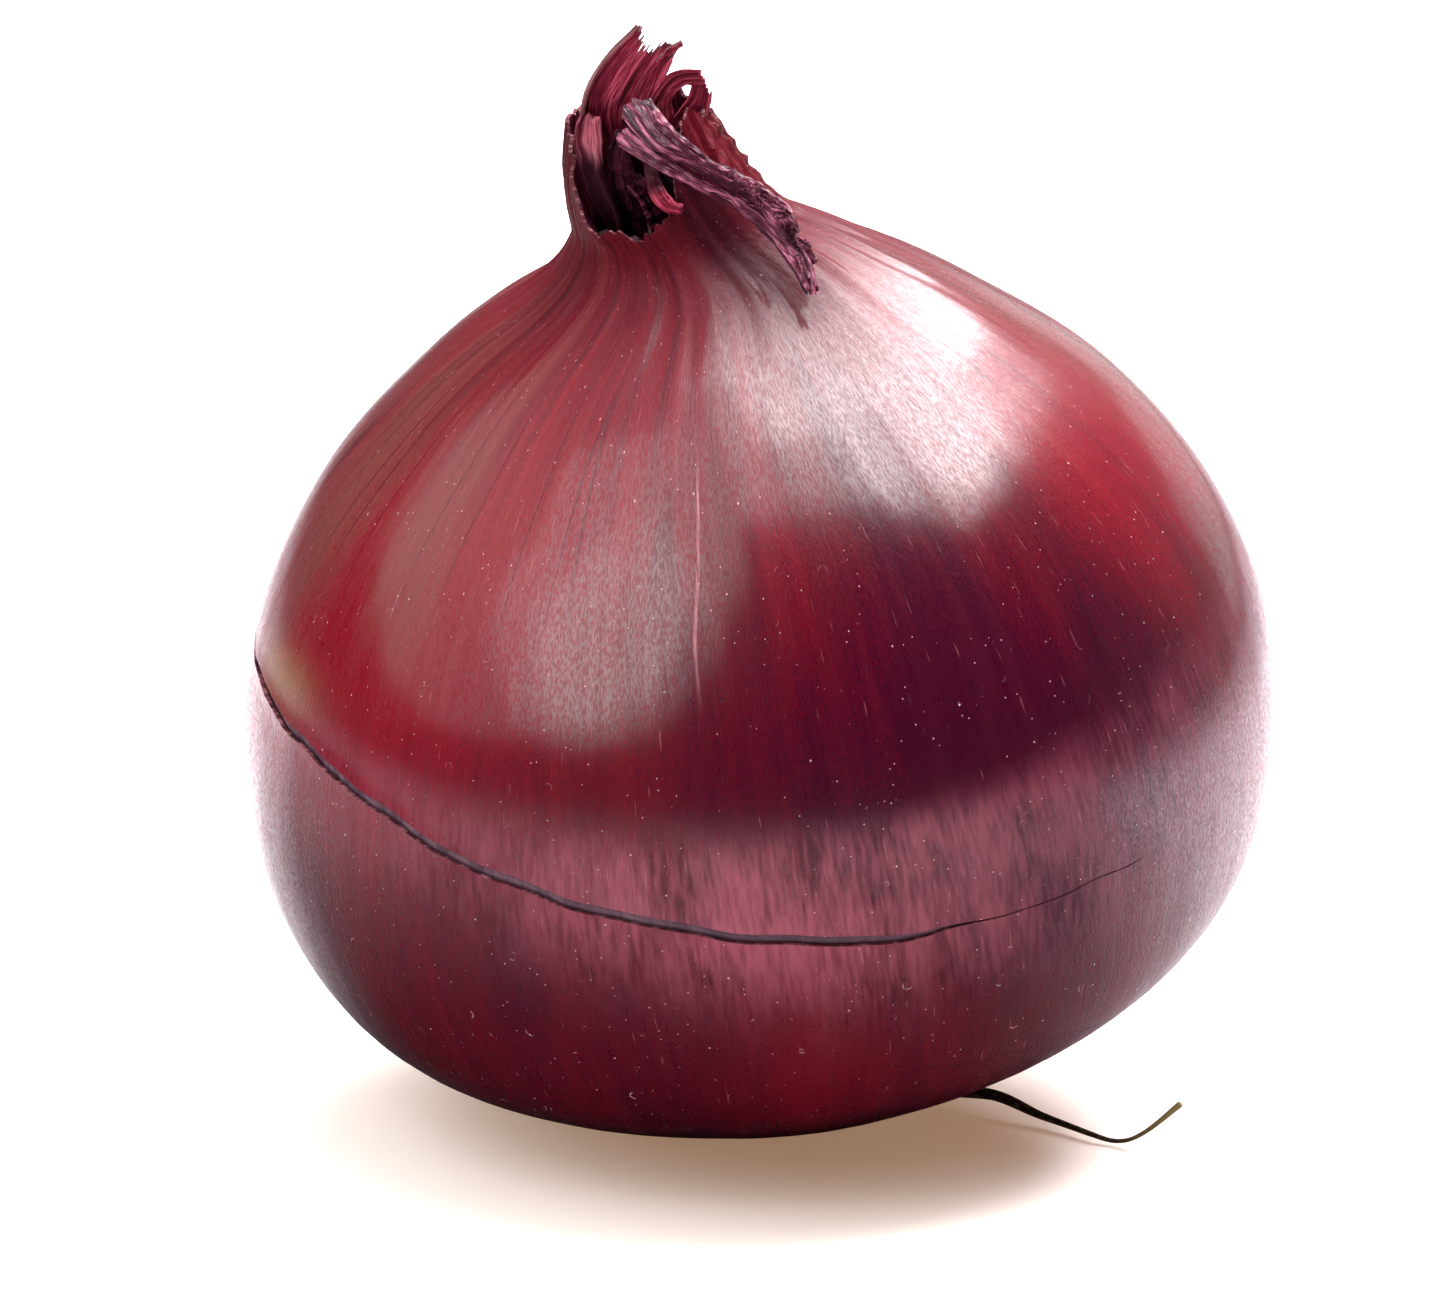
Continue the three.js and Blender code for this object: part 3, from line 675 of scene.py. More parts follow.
hangingLeaf = {
    "node": "hanging_leaf",
    "slot": "withered_leaf",
    "strips": [
        crumpled(
            (-0.8, -1.1, 72, 1.1, 1, 0, 0), (-1.6, -1.3, 77.5, 1.2, 1, 0, 0),
            (-2.5, -2, 81.6, 1.4, 1, 0, 0.1), (-2.6, -4.2, 82.8, 1.3, 1, 0.1, 0.5),
            (-1.2, -6.4, 81, 0.95, 0.8, 0.1, 0.7),
            (1.5, -6.9, 79, 0.75, 0.6, -0.1, 0.8), (4.2, -6.9, 76.6, 0.75, 0.6, -0.2, 0.7),
            (6.4, -7.6, 74.2, 0.85, 0.7, -0.1, 0.6), (8.1, -9.4, 71.8, 0.55, 0.9, 0.2, 0.3),
            (8.8, -12, 69.5, 0.38, 1, 0.2, 0),
            seed=7, columns=48,
        ),
        # a second fold that twists round the first
        crumpled(
            (-3.8, -2.2, 80.6, 0.9, 1, 0, 0.3), (-3.4, -4.8, 80.8, 0.95, 1, 0.1, 0.5),
            (-1.3, -6.9, 79.5, 0.7, 0.8, 0.1, 0.7), (1.1, -7.5, 77.8, 0.5, 0.6, -0.1, 0.8),
            (3.7, -7.3, 75.8, 0.45, 0.6, -0.2, 0.7), (6.0, -7.9, 73.4, 0.4, 0.7, -0.1, 0.6),
            (7.7, -9.9, 71.1, 0.4, 0.9, 0.2, 0.3), (8.5, -12, 69.5, 0.28, 1, 0.2, 0),
            seed=8, columns=28, curl=2.6,
        ),
        # a third, thinner one along its upper edge
        crumpled(
            (-1.8, -3.8, 83.2, 0.5, 1, 0, 0.4), (-0.4, -6.2, 81.6, 0.55, 0.8, 0.1, 0.7),
            (2.2, -7.1, 79, 0.5, 0.6, -0.1, 0.8), (4.9, -7, 76.8, 0.6, 0.6, -0.2, 0.7),
            (6.9, -7.4, 75, 0.65, 0.7, -0.1, 0.6), (8.5, -8.8, 73.4, 0.5, 0.9, 0.2, 0.3),
            seed=9, columns=20, curl=2.2, torn=0.12,
        ),
        # dark crumpled ends deep in the mouth
        crumpled(
            (-3.7, -1, 72, 1.2, 1, -0.3, 0), (-4.2, -2, 76, 1.3, 1, -0.4, 0),
            (-4.2, -3, 79, 1.1, 1, -0.3, 0.2), (-3.4, -3.6, 81, 0.7, 1, -0.1, 0.5),
            seed=12, kinds=(1, 1), steps=60,
        ),
        crumpled(
            (-1.4, -2.5, 71.8, 1.6, 1, 0.3, 0), (-1.8, -3, 74, 1.5, 1, 0.3, 0.1),
            (-2.6, -3.2, 76, 1.1, 1, 0.2, 0.3), (-3.6, -3.6, 77.4, 0.6, 0.8, 0.1, 0.5),
            seed=13, kinds=(1, 1), steps=60,
        ),
    ],
    # short crumpled shreds that stand off its outer edge towards the end
    "shreds": {"count": 22, "from": 0.62, "to": 0.9, "length": 1.5, "width": 0.42, "seed": 21},
}

innerLeaf = {
    "node": "inner_leaf",
    "slot": "withered_leaf",
    "strips": [
        plain(
            (-4.6, -2.4, 72.2, 1.2, 0.6, -0.8, 0), (-5.6, -2.5, 77, 1.6, 0.6, -0.8, 0),
            (-5.9, -2.3, 79.8, 1.9, 0.6, -0.8, 0), (-5.6, -1.7, 82.4, 1.3, 0.6, -0.8, 0.1),
            curl=3.0, torn=0.12, seed=9, wrinkles=4, fold=0.3, kinds=(0, 0), columns=40, base=0.75,
        ),
    ],
}


def addShreds(piece, rows, shreds):
    # short strips along the outer edge of the last part of a leaf, in drawn directions
    rows = np.asarray(rows, float)
    draw = np.random.default_rng(shreds["seed"])
    for number in range(shreds["count"]):
        step = (number + draw.random()) / shreds["count"]
        share = np.array([shreds["from"] + (shreds["to"] - shreds["from"]) * step])
        place = curveThrough(rows, share)[0]
        ahead = unit(curveThrough(rows, share + 0.02)[0, :3] - place[:3])
        side = unit(place[4:7])
        out = unit(0.55 * side + ahead + draw.normal(0, 0.3, 3))
        start = place[:3] + side * place[3] * draw.uniform(-0.2, 0.9) + ahead * draw.normal(0, 0.3)
        length = shreds["length"] * draw.uniform(0.5, 1)
        bend = draw.normal(0, 0.15, 3)
        across = unit(np.cross(out, [0.3, -1, 0.2]))
        stations = [
            (*(start + out * length * s + bend * s**2), shreds["width"] * (1 - 0.4 * s), *across)
            for s in (0, 0.5, 1)
        ]
        seed = 30 + number
        addStrip(piece, *crumpled(*stations, seed=seed, columns=6, steps=10, thickness=0.2, ridge=0.03))


def makeLeaf(name, shape, materials):
    # the strips of one leaf as one piece, with its shreds where it has some
    piece = Piece(name)
    for strip in shape["strips"]:
        addStrip(piece, *strip)
    if "shreds" in shape:
        addShreds(piece, shape["strips"][0][0], shape["shreds"])
    return piece.finish(materials, [shape["node"]], shape["slot"])


rootLook = {
    "plateRadius": 5.3,
    "plateHeight": 0.05,
    "plateThickness": 0.7,
    # its outline: shares of the radius and of the thickness
    "plateProfile": [(0.15, 0), (0.5, 0), (0.8, 0.05), (1, 0.2), (1, 1), (0.6, 1), (0.15, 1)],
    "plateRipple": 0.05,
    "plateRipples": 24,
    # the long root in the resting frame: x, y, z, radius
    "longRoot": [
        (5.6, 5, 1.3, 0.45), (9, 2.6, 0.95, 0.45), (13, 0.4, 0.95, 0.45), (18.6, -2.7, 1.45, 0.44),
        (22.6, -6.2, 0.85, 0.3), (26, -9.8, 0.6, 0.2), (28.1, -11.2, 0.5, 0.17), (29.8, -12.2, 1.45, 0.16),
        (32.6, -13.1, 4.1, 0.26),
    ],
    "shortRoots": 26,
    "shortRootsFrom": -10,  # degrees, and over how many they spread
    "shortRootsSpread": 225,
    "shortRootLength": (1.8, 4.4),
    "seed": 12,
}


def addTube(piece, rows, sides, steps, tint):
    # a round tube along a path, its radius rippled, closed by a point at each end
    rows = np.asarray(rows, float)
    share = np.linspace(0, 1, steps + 1)
    path = curveThrough(rows[:, :3], share)
    forward = unit(np.gradient(path, axis=0))
    side = unit(np.cross(forward, [0.2, 0.1, 1.0]))
    over = np.cross(side, forward)
    angle = np.linspace(0, 2 * np.pi, sides + 1)
    ripple = 1 + 0.14 * np.sin(3 * angle + 5 * share[:, None]) + 0.1 * np.sin(31 * share[:, None] + angle)
    radius = curveThrough(rows[:, 3:4], share) * ripple
    points = path[:, None] + radius[..., None] * (
        np.cos(angle)[:, None] * side[:, None] + np.sin(angle)[:, None] * over[:, None]
    )
    chart = together(angle / (2 * np.pi), share[:, None])
    grain = np.concatenate([chart * (0.3, 1), np.full((*chart.shape[:2], 1), 0.1)], -1)
    toTip = together(tint[0], tint[1] * ease(0.72, 0.95, share), 0)[:, None]
    grid = piece.addPoints(points[:, :-1], grain[:, :-1], toTip)
    grid = np.hstack([grid, grid[:, :1]])
    piece.addQuads(grid, chart, flip=True)
    tips = piece.addPoints(path[[0, -1]], grain[[0, -1], 0], tint)
    piece.addFan(grid[0], tips[0])
    piece.addFan(grid[-1], tips[1], flip=True)


def makeRoots(materials):
    # the plate as a turned profile, the long root, and short roots in drawn directions
    look = rootLook
    piece = Piece("rootPlate")
    azimuth = np.linspace(-np.pi, np.pi, 97)
    profile = np.array(look["plateProfile"])
    radius = look["plateRadius"] * profile[:, :1] * np.ones_like(azimuth)
    ripple = look["plateRipple"] * np.sin(look["plateRipples"] * azimuth) * (profile[:, :1] < 0.95)
    height = look["plateHeight"] + look["plateThickness"] * profile[:, 1:2] + ripple
    points = around(radius, azimuth, height, 0)
    grain = together(np.sin(azimuth), np.cos(azimuth), radius / 40)
    grid = piece.addPoints(points[:, :-1], grain[:, :-1], (0.3, 0, 0))
    grid = np.hstack([grid, grid[:, :1]])
    chart = together(azimuth / (2 * np.pi) + 0.5, radius / 40)
    piece.addQuads(grid, chart)
    tips = piece.addPoints(np.array([[0, 0, height[0, 0]], [0, 0, height[-1, 0]]]), (0, 0, 0), (0.3, 0, 0))
    piece.addFan(grid[0], tips[0], flip=True)
    piece.addFan(grid[-1], tips[1])
    rows = np.array(look["longRoot"], float)
    rows[:, :3] = fromRest(rows[:, :3])
    addTube(piece, rows, 10, 140, (1, 1, 0))
    draw = np.random.default_rng(look["seed"])
    for number in range(look["shortRoots"]):
        step = (number + 0.7 * draw.random()) / look["shortRoots"]
        direction = math.radians(look["shortRootsFrom"] + look["shortRootsSpread"] * step)
        length = draw.uniform(*look["shortRootLength"])
        start = look["plateRadius"] * draw.uniform(0.3, 0.85)
        droop, bend = draw.uniform(0.5, 1), draw.uniform(-0.4, 0.4)
        # distance from the axis, turn from its direction, height and radius along a root
        stations = [
            (start, 0, 0.4, 0.3), (start + 0.4 * length, 0.3 * bend, -0.3 * droop, 0.28),
            (start + length, bend, -0.9 * droop, 0.14),
        ]
        rows = [
            (reach * math.cos(direction + swing), reach * math.sin(direction + swing), level, thick)
            for reach, swing, level, thick in stations
        ]
        addTube(piece, rows, 6, 12, (0.5, 0, 0))
    return piece.finish(materials, ["root_plate"], "dry_root", floor=0.02)


# Materials

class Net:
    # The nodes of one material or node group. A value on a socket is a number, a colour or a link.
    def __init__(self, tree):
        self.tree = tree

    def put(self, socket, value):
        # a link or a constant on a socket
        if isinstance(value, bpy.types.NodeSocket):
            self.tree.links.new(value, socket)
        else:
            socket.default_value = value

    def node(self, kind, inputs=(), **settings):
        # one node, with its settings and what is on its inputs
        node = self.tree.nodes.new(kind)
        for key, value in settings.items():
            setattr(node, key, value)
        for socket, value in dict(inputs).items():
            self.put(node.inputs[socket], value)
        return node

    def maths(self, operation, *values, clamp=False):
        inputs = dict(enumerate(values))
        return self.node("ShaderNodeMath", inputs, operation=operation, use_clamp=clamp).outputs[0]

    def times(self, first, *others, clamp=False):
        for other in others:
            first = self.maths("MULTIPLY", first, other, clamp=clamp)
        return first

    def plus(self, first, *others):
        for other in others:
            first = self.maths("ADD", first, other)
        return first

    def minus(self, first, second):
        return self.maths("SUBTRACT", first, second)

    def most(self, first, second):
        return self.maths("MAXIMUM", first, second)

    def apart(self, first, second):
        # how far two values are apart
        return self.maths("ABSOLUTE", self.minus(first, second))

    def rangeOf(self, value, low, high, toLow=0.0, toHigh=1.0):
        # toLow up to low, toHigh from high on, and a straight line between them
        inputs = {0: value, 1: low, 2: high, 3: toLow, 4: toHigh}
        return self.node("ShaderNodeMapRange", inputs, clamp=True).outputs[0]

    def mix(self, share, first, second, blend="MIX"):
        # the first colour where the share is 0, the second where it is 1
        node = self.node("ShaderNodeMix", data_type="RGBA", blend_type=blend)
        for label, value in (("Factor_Float", share), ("A_Color", first), ("B_Color", second)):
            self.put(next(socket for socket in node.inputs if socket.identifier == label), value)
        return next(socket for socket in node.outputs if socket.identifier == "Result_Color")

    def ramp(self, value, stops):
        # a colour for each value, through (position, colour) stops
        node = self.node("ShaderNodeValToRGB", {0: value})
        elements = node.color_ramp.elements
        for element, (position, colour) in zip(elements, (stops[0], stops[-1])):
            element.position, element.color = position, colour
        for position, colour in stops[1:-1]:
            elements.new(position).color = colour
        return node.outputs[0]

    def split(self, vector):
        return self.node("ShaderNodeSeparateXYZ", {0: vector}).outputs

    def attribute(self, name):
        return self.node("ShaderNodeAttribute", attribute_name=name).outputs["Vector"]

    def cells(self, scale):
        # a cell pattern on the grain vector
        inputs = {"Vector": self.grain, "Scale": scale}
        return self.node("ShaderNodeTexVoronoi", inputs, feature="F1").outputs

    def streaks(self, count, length, low=0.3, high=0.7, detail=2.0):
        # the mask of lengthwise streaks, and their height for bump
        inputs = {"Count": count, "Length": length, "Detail": detail, "Low": low, "High": high}
        node = self.node("ShaderNodeGroup", {"Grain": self.grain, **inputs}, node_tree=streakGroup)
        return node.outputs["Streak"], node.outputs["Height"]

    def bump(self, height, strength, distance):
        inputs = {"Height": height, "Strength": strength, "Distance": distance}
        self.put(self.shader["Normal"], self.node("ShaderNodeBump", inputs).outputs[0])


def makeStreakGroup():
    # Lengthwise streaks: noise on the grain vector, squeezed round the piece and stretched along it.
    # Streak is the mask, and Height is the same noise at full range, for bump.
    group = bpy.data.node_groups.new("lengthwiseStreaks", "ShaderNodeTree")
    numbers = {"Count": 12.0, "Length": 0.1, "Detail": 2.0, "Low": 0.4, "High": 0.6}
    group.interface.new_socket("Grain", in_out="INPUT", socket_type="NodeSocketVector")
    for label, value in numbers.items():
        socket = group.interface.new_socket(label, in_out="INPUT", socket_type="NodeSocketFloat")
        socket.default_value = value
    for label in ("Streak", "Height"):
        group.interface.new_socket(label, in_out="OUTPUT", socket_type="NodeSocketFloat")
    net = Net(group)
    start = group.nodes.new("NodeGroupInput").outputs
    end = group.nodes.new("NodeGroupOutput").inputs
    across = start["Count"]
    along = net.times(across, start["Length"])
    scale = net.node("ShaderNodeCombineXYZ", {0: across, 1: across, 2: along}).outputs[0]
    squeezed = net.node("ShaderNodeVectorMath", {0: start["Grain"], 1: scale}, operation="MULTIPLY")
    inputs = {"Vector": squeezed.outputs[0], "Scale": 1.0, "Detail": start["Detail"]}
    noise = net.node("ShaderNodeTexNoise", inputs).outputs[0]
    net.put(end["Streak"], net.rangeOf(noise, start["Low"], start["High"]))
    net.put(end["Height"], noise)
    return group


streakGroup = makeStreakGroup()


def startMaterial(name):
    # a material with its shader's sockets, the grain vector and the three patches of its piece
    material = bpy.data.materials.new(name)
    material.use_nodes = True
    net = Net(material.node_tree)
    net.shader = next(node for node in net.tree.nodes if node.type == "BSDF_PRINCIPLED").inputs
    net.grain = net.attribute("grain")
    return material, net, net.split(net.attribute("tint"))


skinFinish = {
    "purple": (0.03, 0.0006, 0.008, 1),
    "crimson": (0.07, 0.0006, 0.006, 1),
    "red": (0.14, 0.0015, 0.008, 1),
    "brick": (0.12, 0.028, 0.025, 1),
    "dull": (0.09, 0.004, 0.01, 1),
    "bloom": (0.18, 0.025, 0.04, 1),
    # painted reflection of the floor, a pale mauve on the lifted skin round the split
    "loose": (0.25, 0.052, 0.08, 1),  # where the skin has lifted off round the split
    "olive": (0.2, 0.12, 0.05, 1),
    "speck": (0.75, 0.5, 0.5, 1),
    "vein": (0.05, 0.001, 0.006, 1),
    "scratch": (0.5, 0.2, 0.22, 1),
    # the colour of the smudges, and also of the painted shade
    "smudge": (0.02, 0.001, 0.005, 1),
    "toneStops": {"purple": 0.02, "crimson": 0.3, "red": 0.6, "brick": 0.92},
    # the tone starts at a value; warm patches raise it, deep ones lower it, and streaks vary it
    "toneStart": 0.3,
    "toneWarm": 0.55,
    "toneDeep": 0.42,
    "toneStreaks": {"broad": 0.32, "middle": 0.09, "fine": 0.07, "fibre": 0.05, "cell": 0.12},
    # how far each colour covers those under it
    "cover": {
        "liftedSheen": 0.45, "olive": 0.6, "dull": 0.75, "shadeAndStain": 0.9, "bloom": 0.05, "vein": 0.75,
        "speck": 0.6, "scratch": 0.16,
    },
    # what changes up the skin: height / 100 from and to, and the values there
    "levels": {
        # pleats and base: painted shade, in the pleats under the neck and towards the bottom
        "pleats": (0.56, 0.7, 0, 0.65),
        "base": (0.1, 0.24, 0.5, 0),
        "shoulder": (0.5, 0.58, 0, 1),
        "underNeck": (0.64, 0.7, 1, 0),
        "rings": (0.24, 0.36, 0.7, 0.12),
        "coat": (0.12, 0.34, 0.1, 1),
        "crosswise": (0.6, 0.72, 0, 1.6),
    },
    # streaks: count across, length as a share of it along, the noise that gives 0 and 1, and detail
    "streaks": {
        "broad": (3.2, 0.3, 0.3, 0.7, 3),
        "middle": (13, 0.12, 0.3, 0.7, 4),
        "fine": (60, 0.08, 0.3, 0.7, 3),
        "fibre": (190, 0.06, 0.35, 0.65, 2),
        "cell": (230, 0.5, 0.4, 0.6, 2),
        "liftedSheen": (9, 0.5, 0.34, 0.62, 3),
        "dashes": (100, 0.16, 0.32, 0.68, 3),
        "pleats": (17, 0.07, 0.42, 0.66, 4),
        "bloom": (22, 0.22, 0.5, 0.72, 6),
        "vein": (7, 0.05, 0.4, 0.6, 0),
        "broken": (30, 1.0, 0.66, 0.7, 2),
        "scratch": (150, 0.1, 0.73, 0.78, 1),
        "glossy": (40, 0.1, 0.36, 0.62, 6),
        "crosswise": (20, 5.0, 0.4, 0.6, 3),
    },
    # the patches of the painted sheen on the lifted skin
    "liftedSheenEdge": (1.3, 1.4),  # lifted streaks and the lifted mask add up to this at a patch's edge
    "liftedSheenSoft": (0.1, 0.8, 0.05, 0.9),
    "veinWidth": (0.003, 0.011),
    "specks": ((34, 0.06, 0.74), (90, 0.11, 0.86)),  # cell scale, size, and the share of cells without one
    "speckFade": 0.02,
    "rings": (29.0, 0.3, 0.01, 0.03),  # cell scale, radius, and where the line fades
    "roughness": 0.3,
    "roughnessStreaks": (0.1, 0.08),  # by the fine streaks, by the cells
    "roughnessDry": 0.12,
    "specular": 0.06,
    "coatWeight": 0.95,
    "coatStreaks": 0.24,
    "coatCells": (1.25, 0.6),
    "coatRoughness": 0.16,
    "bumpShares": {"fine": 0.5, "fibre": 0.4, "cell": 0.7},
    "speckBump": 0.4,
    "lineBump": 0.5,
    "bumpStrength": 0.5,
    "bumpDistance": 0.0002,
    # lines on the skin: along which way they run, (azimuth, height) of their points, width, strength
    "hairline": (
        "round", [(10, 19.7), (14, 18.3), (20, 17.1), (25, 16.7), (32, 16.2), (40, 14.9)], 0.2, 0.85,
    ),
    "lightStreak": ("up", [(-5, 50), (-5, 52), (-4, 56), (-3, 61)], 0.22, 0.5),
    "smudges": [
        ("up", [(44, 44.5), (45.5, 50)], 0.5, 0.6), ("up", [(49, 45), (50.5, 48)], 0.35, 0.5),
        ("up", [(40, 41), (41, 44)], 0.4, 0.4),
    ],
}


def lineMask(net, chart, line):
    # 1 on a line and 0 a little off it: a curve gives the place across for each place along; the ends fade
    way, points, width, strength = line
    turns, level = chart[0], chart[1]
    places = [(azimuth / 360 + 0.5, height / 100) for azimuth, height in points]
    along, across, span, reach = (turns, level, 0, 100) if way == "round" else (level, turns, 1, 250)
    node = net.node("ShaderNodeFloatCurve", {1: along})
    curve = node.mapping.curves[0]
    knots = sorted((place[span], place[1 - span]) for place in places)
    curve.points[0].location, curve.points[1].location = knots[0], knots[-1]
    for knot in knots[1:-1]:
        curve.points.new(*knot)
    node.mapping.extend = "EXTRAPOLATED"
    node.mapping.update()
    near = net.rangeOf(net.apart(across, node.outputs[0]), 0.3 * width / reach, width / reach, 1, 0)
    first, last = knots[0][0], knots[-1][0]
    fade = 0.2 * (last - first)
    begins = net.rangeOf(along, first - fade, first + fade)
    ends = net.rangeOf(along, last - fade, last + fade, 1, 0)
    return net.times(near, begins, ends, strength)


def speckMask(net, masks, levels):
    # round specks in some cells, of two sizes, and parts of rings round a few cell centres
    mask = None
    for scale, size, share in skinFinish["specks"]:
        dots = net.cells(scale)
        drawn = net.node("ShaderNodeSeparateColor", {0: dots["Color"]}).outputs[0]
        near = net.rangeOf(dots["Distance"], 0.7 * size, 1.2 * size, 1, 0)
        dot = net.times(near, net.rangeOf(drawn, share, share + skinFinish["speckFade"]))
        mask = dot if mask is None else net.most(mask, dot)
    scale, radius, inside, outside = skinFinish["rings"]
    ring = net.rangeOf(net.apart(net.cells(scale)["Distance"], radius), inside, outside, 1, 0)
    return net.most(mask, net.times(ring, masks["broken"], levels["rings"]))


def liftedSheenMask(net, masks, loose):
    # painted reflection of the floor where the skin has lifted: patches with grainy edges that run
    # lengthwise, over a softer veil in the same places
    patches = net.plus(net.times(masks["liftedSheen"], 0.5), net.times(masks["dashes"], 0.5))
    low, high = skinFinish["liftedSheenEdge"]
    sharp = net.rangeOf(net.plus(patches, loose), low, high, 0, skinFinish["cover"]["liftedSheen"])
    return net.most(sharp, net.times(loose, net.rangeOf(patches, *skinFinish["liftedSheenSoft"])))


def makeSkinMaterial():
    # a tone from purple to brick red picks the colour, and marks cover it one after another;
    # a glossy coat lies over it, which ends towards the neck and the base
    finish, cover = skinFinish, skinFinish["cover"]
    material, net, (warm, deep, dry) = startMaterial("drySkin")
    layers = {name: net.streaks(*values) for name, values in finish["streaks"].items()}
    masks = {name: layer[0] for name, layer in layers.items()}
    heights = {name: layer[1] for name, layer in layers.items()}
    chart = net.split(net.node("ShaderNodeUVMap", uv_map="along").outputs[0])
    levels = {name: net.rangeOf(chart[1], *values) for name, values in finish["levels"].items()}
    marks = net.split(net.attribute("marks"))
    tone = net.maths("MULTIPLY_ADD", warm, finish["toneWarm"], finish["toneStart"])
    tone = net.minus(tone, net.times(deep, finish["toneDeep"]))
    for name, share in finish["toneStreaks"].items():
        tone = net.plus(tone, net.times(net.minus(masks[name], 0.5), share))
    # painted shade: under the hanging leaf beside the mouth, partly a stain there, with darker skin at the
    # rim's left; in pleats that run down from the neck; and towards the base but where it has lifted
    shadeAndStain = net.most(
        net.times(marks[2], -cover["shadeAndStain"], clamp=True), net.times(masks["pleats"], levels["pleats"]),
    )
    shadeAndStain = net.most(shadeAndStain, net.times(levels["base"], net.minus(1.0, marks[0])))
    # veins: where a long-drawn noise passes its middle value, on the shoulder
    vein = net.rangeOf(net.apart(heights["vein"], 0.5), *finish["veinWidth"], 1, 0)
    vein = net.times(vein, levels["shoulder"], levels["underNeck"], cover["vein"])
    hairline = lineMask(net, chart, finish["hairline"])
    speck = speckMask(net, masks, levels)
    covers = [
        (liftedSheenMask(net, masks, marks[0]), "loose"),
        (net.times(marks[2], cover["olive"], clamp=True), "olive"),
        (net.times(dry, cover["dull"]), "dull"),
        (shadeAndStain, "smudge"),
        (net.times(masks["bloom"], cover["bloom"]), "bloom"),
        (vein, "vein"),
        (hairline, "vein"),
        *((lineMask(net, chart, smudge), "smudge") for smudge in finish["smudges"]),
        (net.times(lineMask(net, chart, finish["lightStreak"]), masks["fibre"]), "scratch"),
        (net.times(speck, cover["speck"]), "speck"),
        (net.times(masks["scratch"], cover["scratch"]), "scratch"),
    ]
    colour = net.ramp(tone, [(position, finish[name]) for name, position in finish["toneStops"].items()])
    for mask, name in covers:
        colour = net.mix(mask, colour, finish[name])
    net.put(net.shader["Base Color"], colour)
    byFine, byCell = finish["roughnessStreaks"]
    roughness = net.maths("MULTIPLY_ADD", masks["fine"], byFine, finish["roughness"] - byFine / 2)
    byDryness = net.times(dry, finish["roughnessDry"])
    roughness = net.plus(roughness, byDryness, net.times(masks["cell"], byCell))
    net.put(net.shader["Roughness"], roughness)
    streaky = finish["coatStreaks"]
    coat = net.maths("MULTIPLY_ADD", masks["glossy"], streaky, finish["coatWeight"] - streaky / 2)
    coat = net.times(coat, net.minus(1.0, dry), clamp=True)
    coat = net.times(coat, net.rangeOf(masks["cell"], 0, 1, *finish["coatCells"]), levels["coat"])
    net.put(net.shader["Coat Weight"], coat)
    net.shader["Coat Roughness"].default_value = finish["coatRoughness"]
    net.shader["Specular IOR Level"].default_value = finish["specular"]
    height = net.times(heights["crosswise"], levels["crosswise"])
    for name, share in finish["bumpShares"].items():
        height = net.plus(height, net.times(heights[name], share))
    height = net.plus(height, net.times(speck, finish["speckBump"]))
    height = net.minus(height, net.times(net.plus(hairline, vein), finish["lineBump"]))
    net.bump(height, finish["bumpStrength"], finish["bumpDistance"])
    return material


dryFinish = {
    "fineCount": 4.5,  # how many fine streaks there are to a broad one
    "broadShare": 0.65,
    "fineShare": 0.35,
    "stops": {"dark": 0.15, "middle": 0.5, "light": 0.9},
    "roughnessStreaks": 0.2,
    "specular": 0.2,
    "bumpStrength": 0.8,
}


def makeDryMaterial(name, finish):
    # dry fibrous leaf or root: a ramp of colours over broad and fine lengthwise streaks, mostly matt
    look = dryFinish
    material, net, patches = startMaterial(name)
    broad, broadHeight = net.streaks(finish["count"], finish["length"], detail=3)
    fine, fineHeight = net.streaks(finish["count"] * look["fineCount"], finish["length"])
    share = net.plus(net.times(broad, look["broadShare"]), net.times(fine, look["fineShare"]))
    colour = net.ramp(share, [(position, finish[name]) for name, position in look["stops"].items()])
    # painted shade, near black, on the part of a leaf that is down in the throat
    colour = net.mix(net.times(patches[2], finish.get("throat", 0.0)), colour, throatColour)
    colour = net.mix(patches[1], colour, finish.get("tip", finish["middle"]))
    net.put(net.shader["Base Color"], colour)
    roughness = net.maths("MULTIPLY_ADD", fine, look["roughnessStreaks"], finish["roughness"])
    net.put(net.shader["Roughness"], roughness)
    net.shader["Specular IOR Level"].default_value = finish.get("specular", look["specular"])
    height = net.plus(net.times(broadHeight, 0.5), net.times(fineHeight, 0.5))
    net.bump(height, look["bumpStrength"], finish["bump"])
    return material


# near black: the painted shade deep in the throat
throatColour = (0.012, 0.001, 0.004, 1)
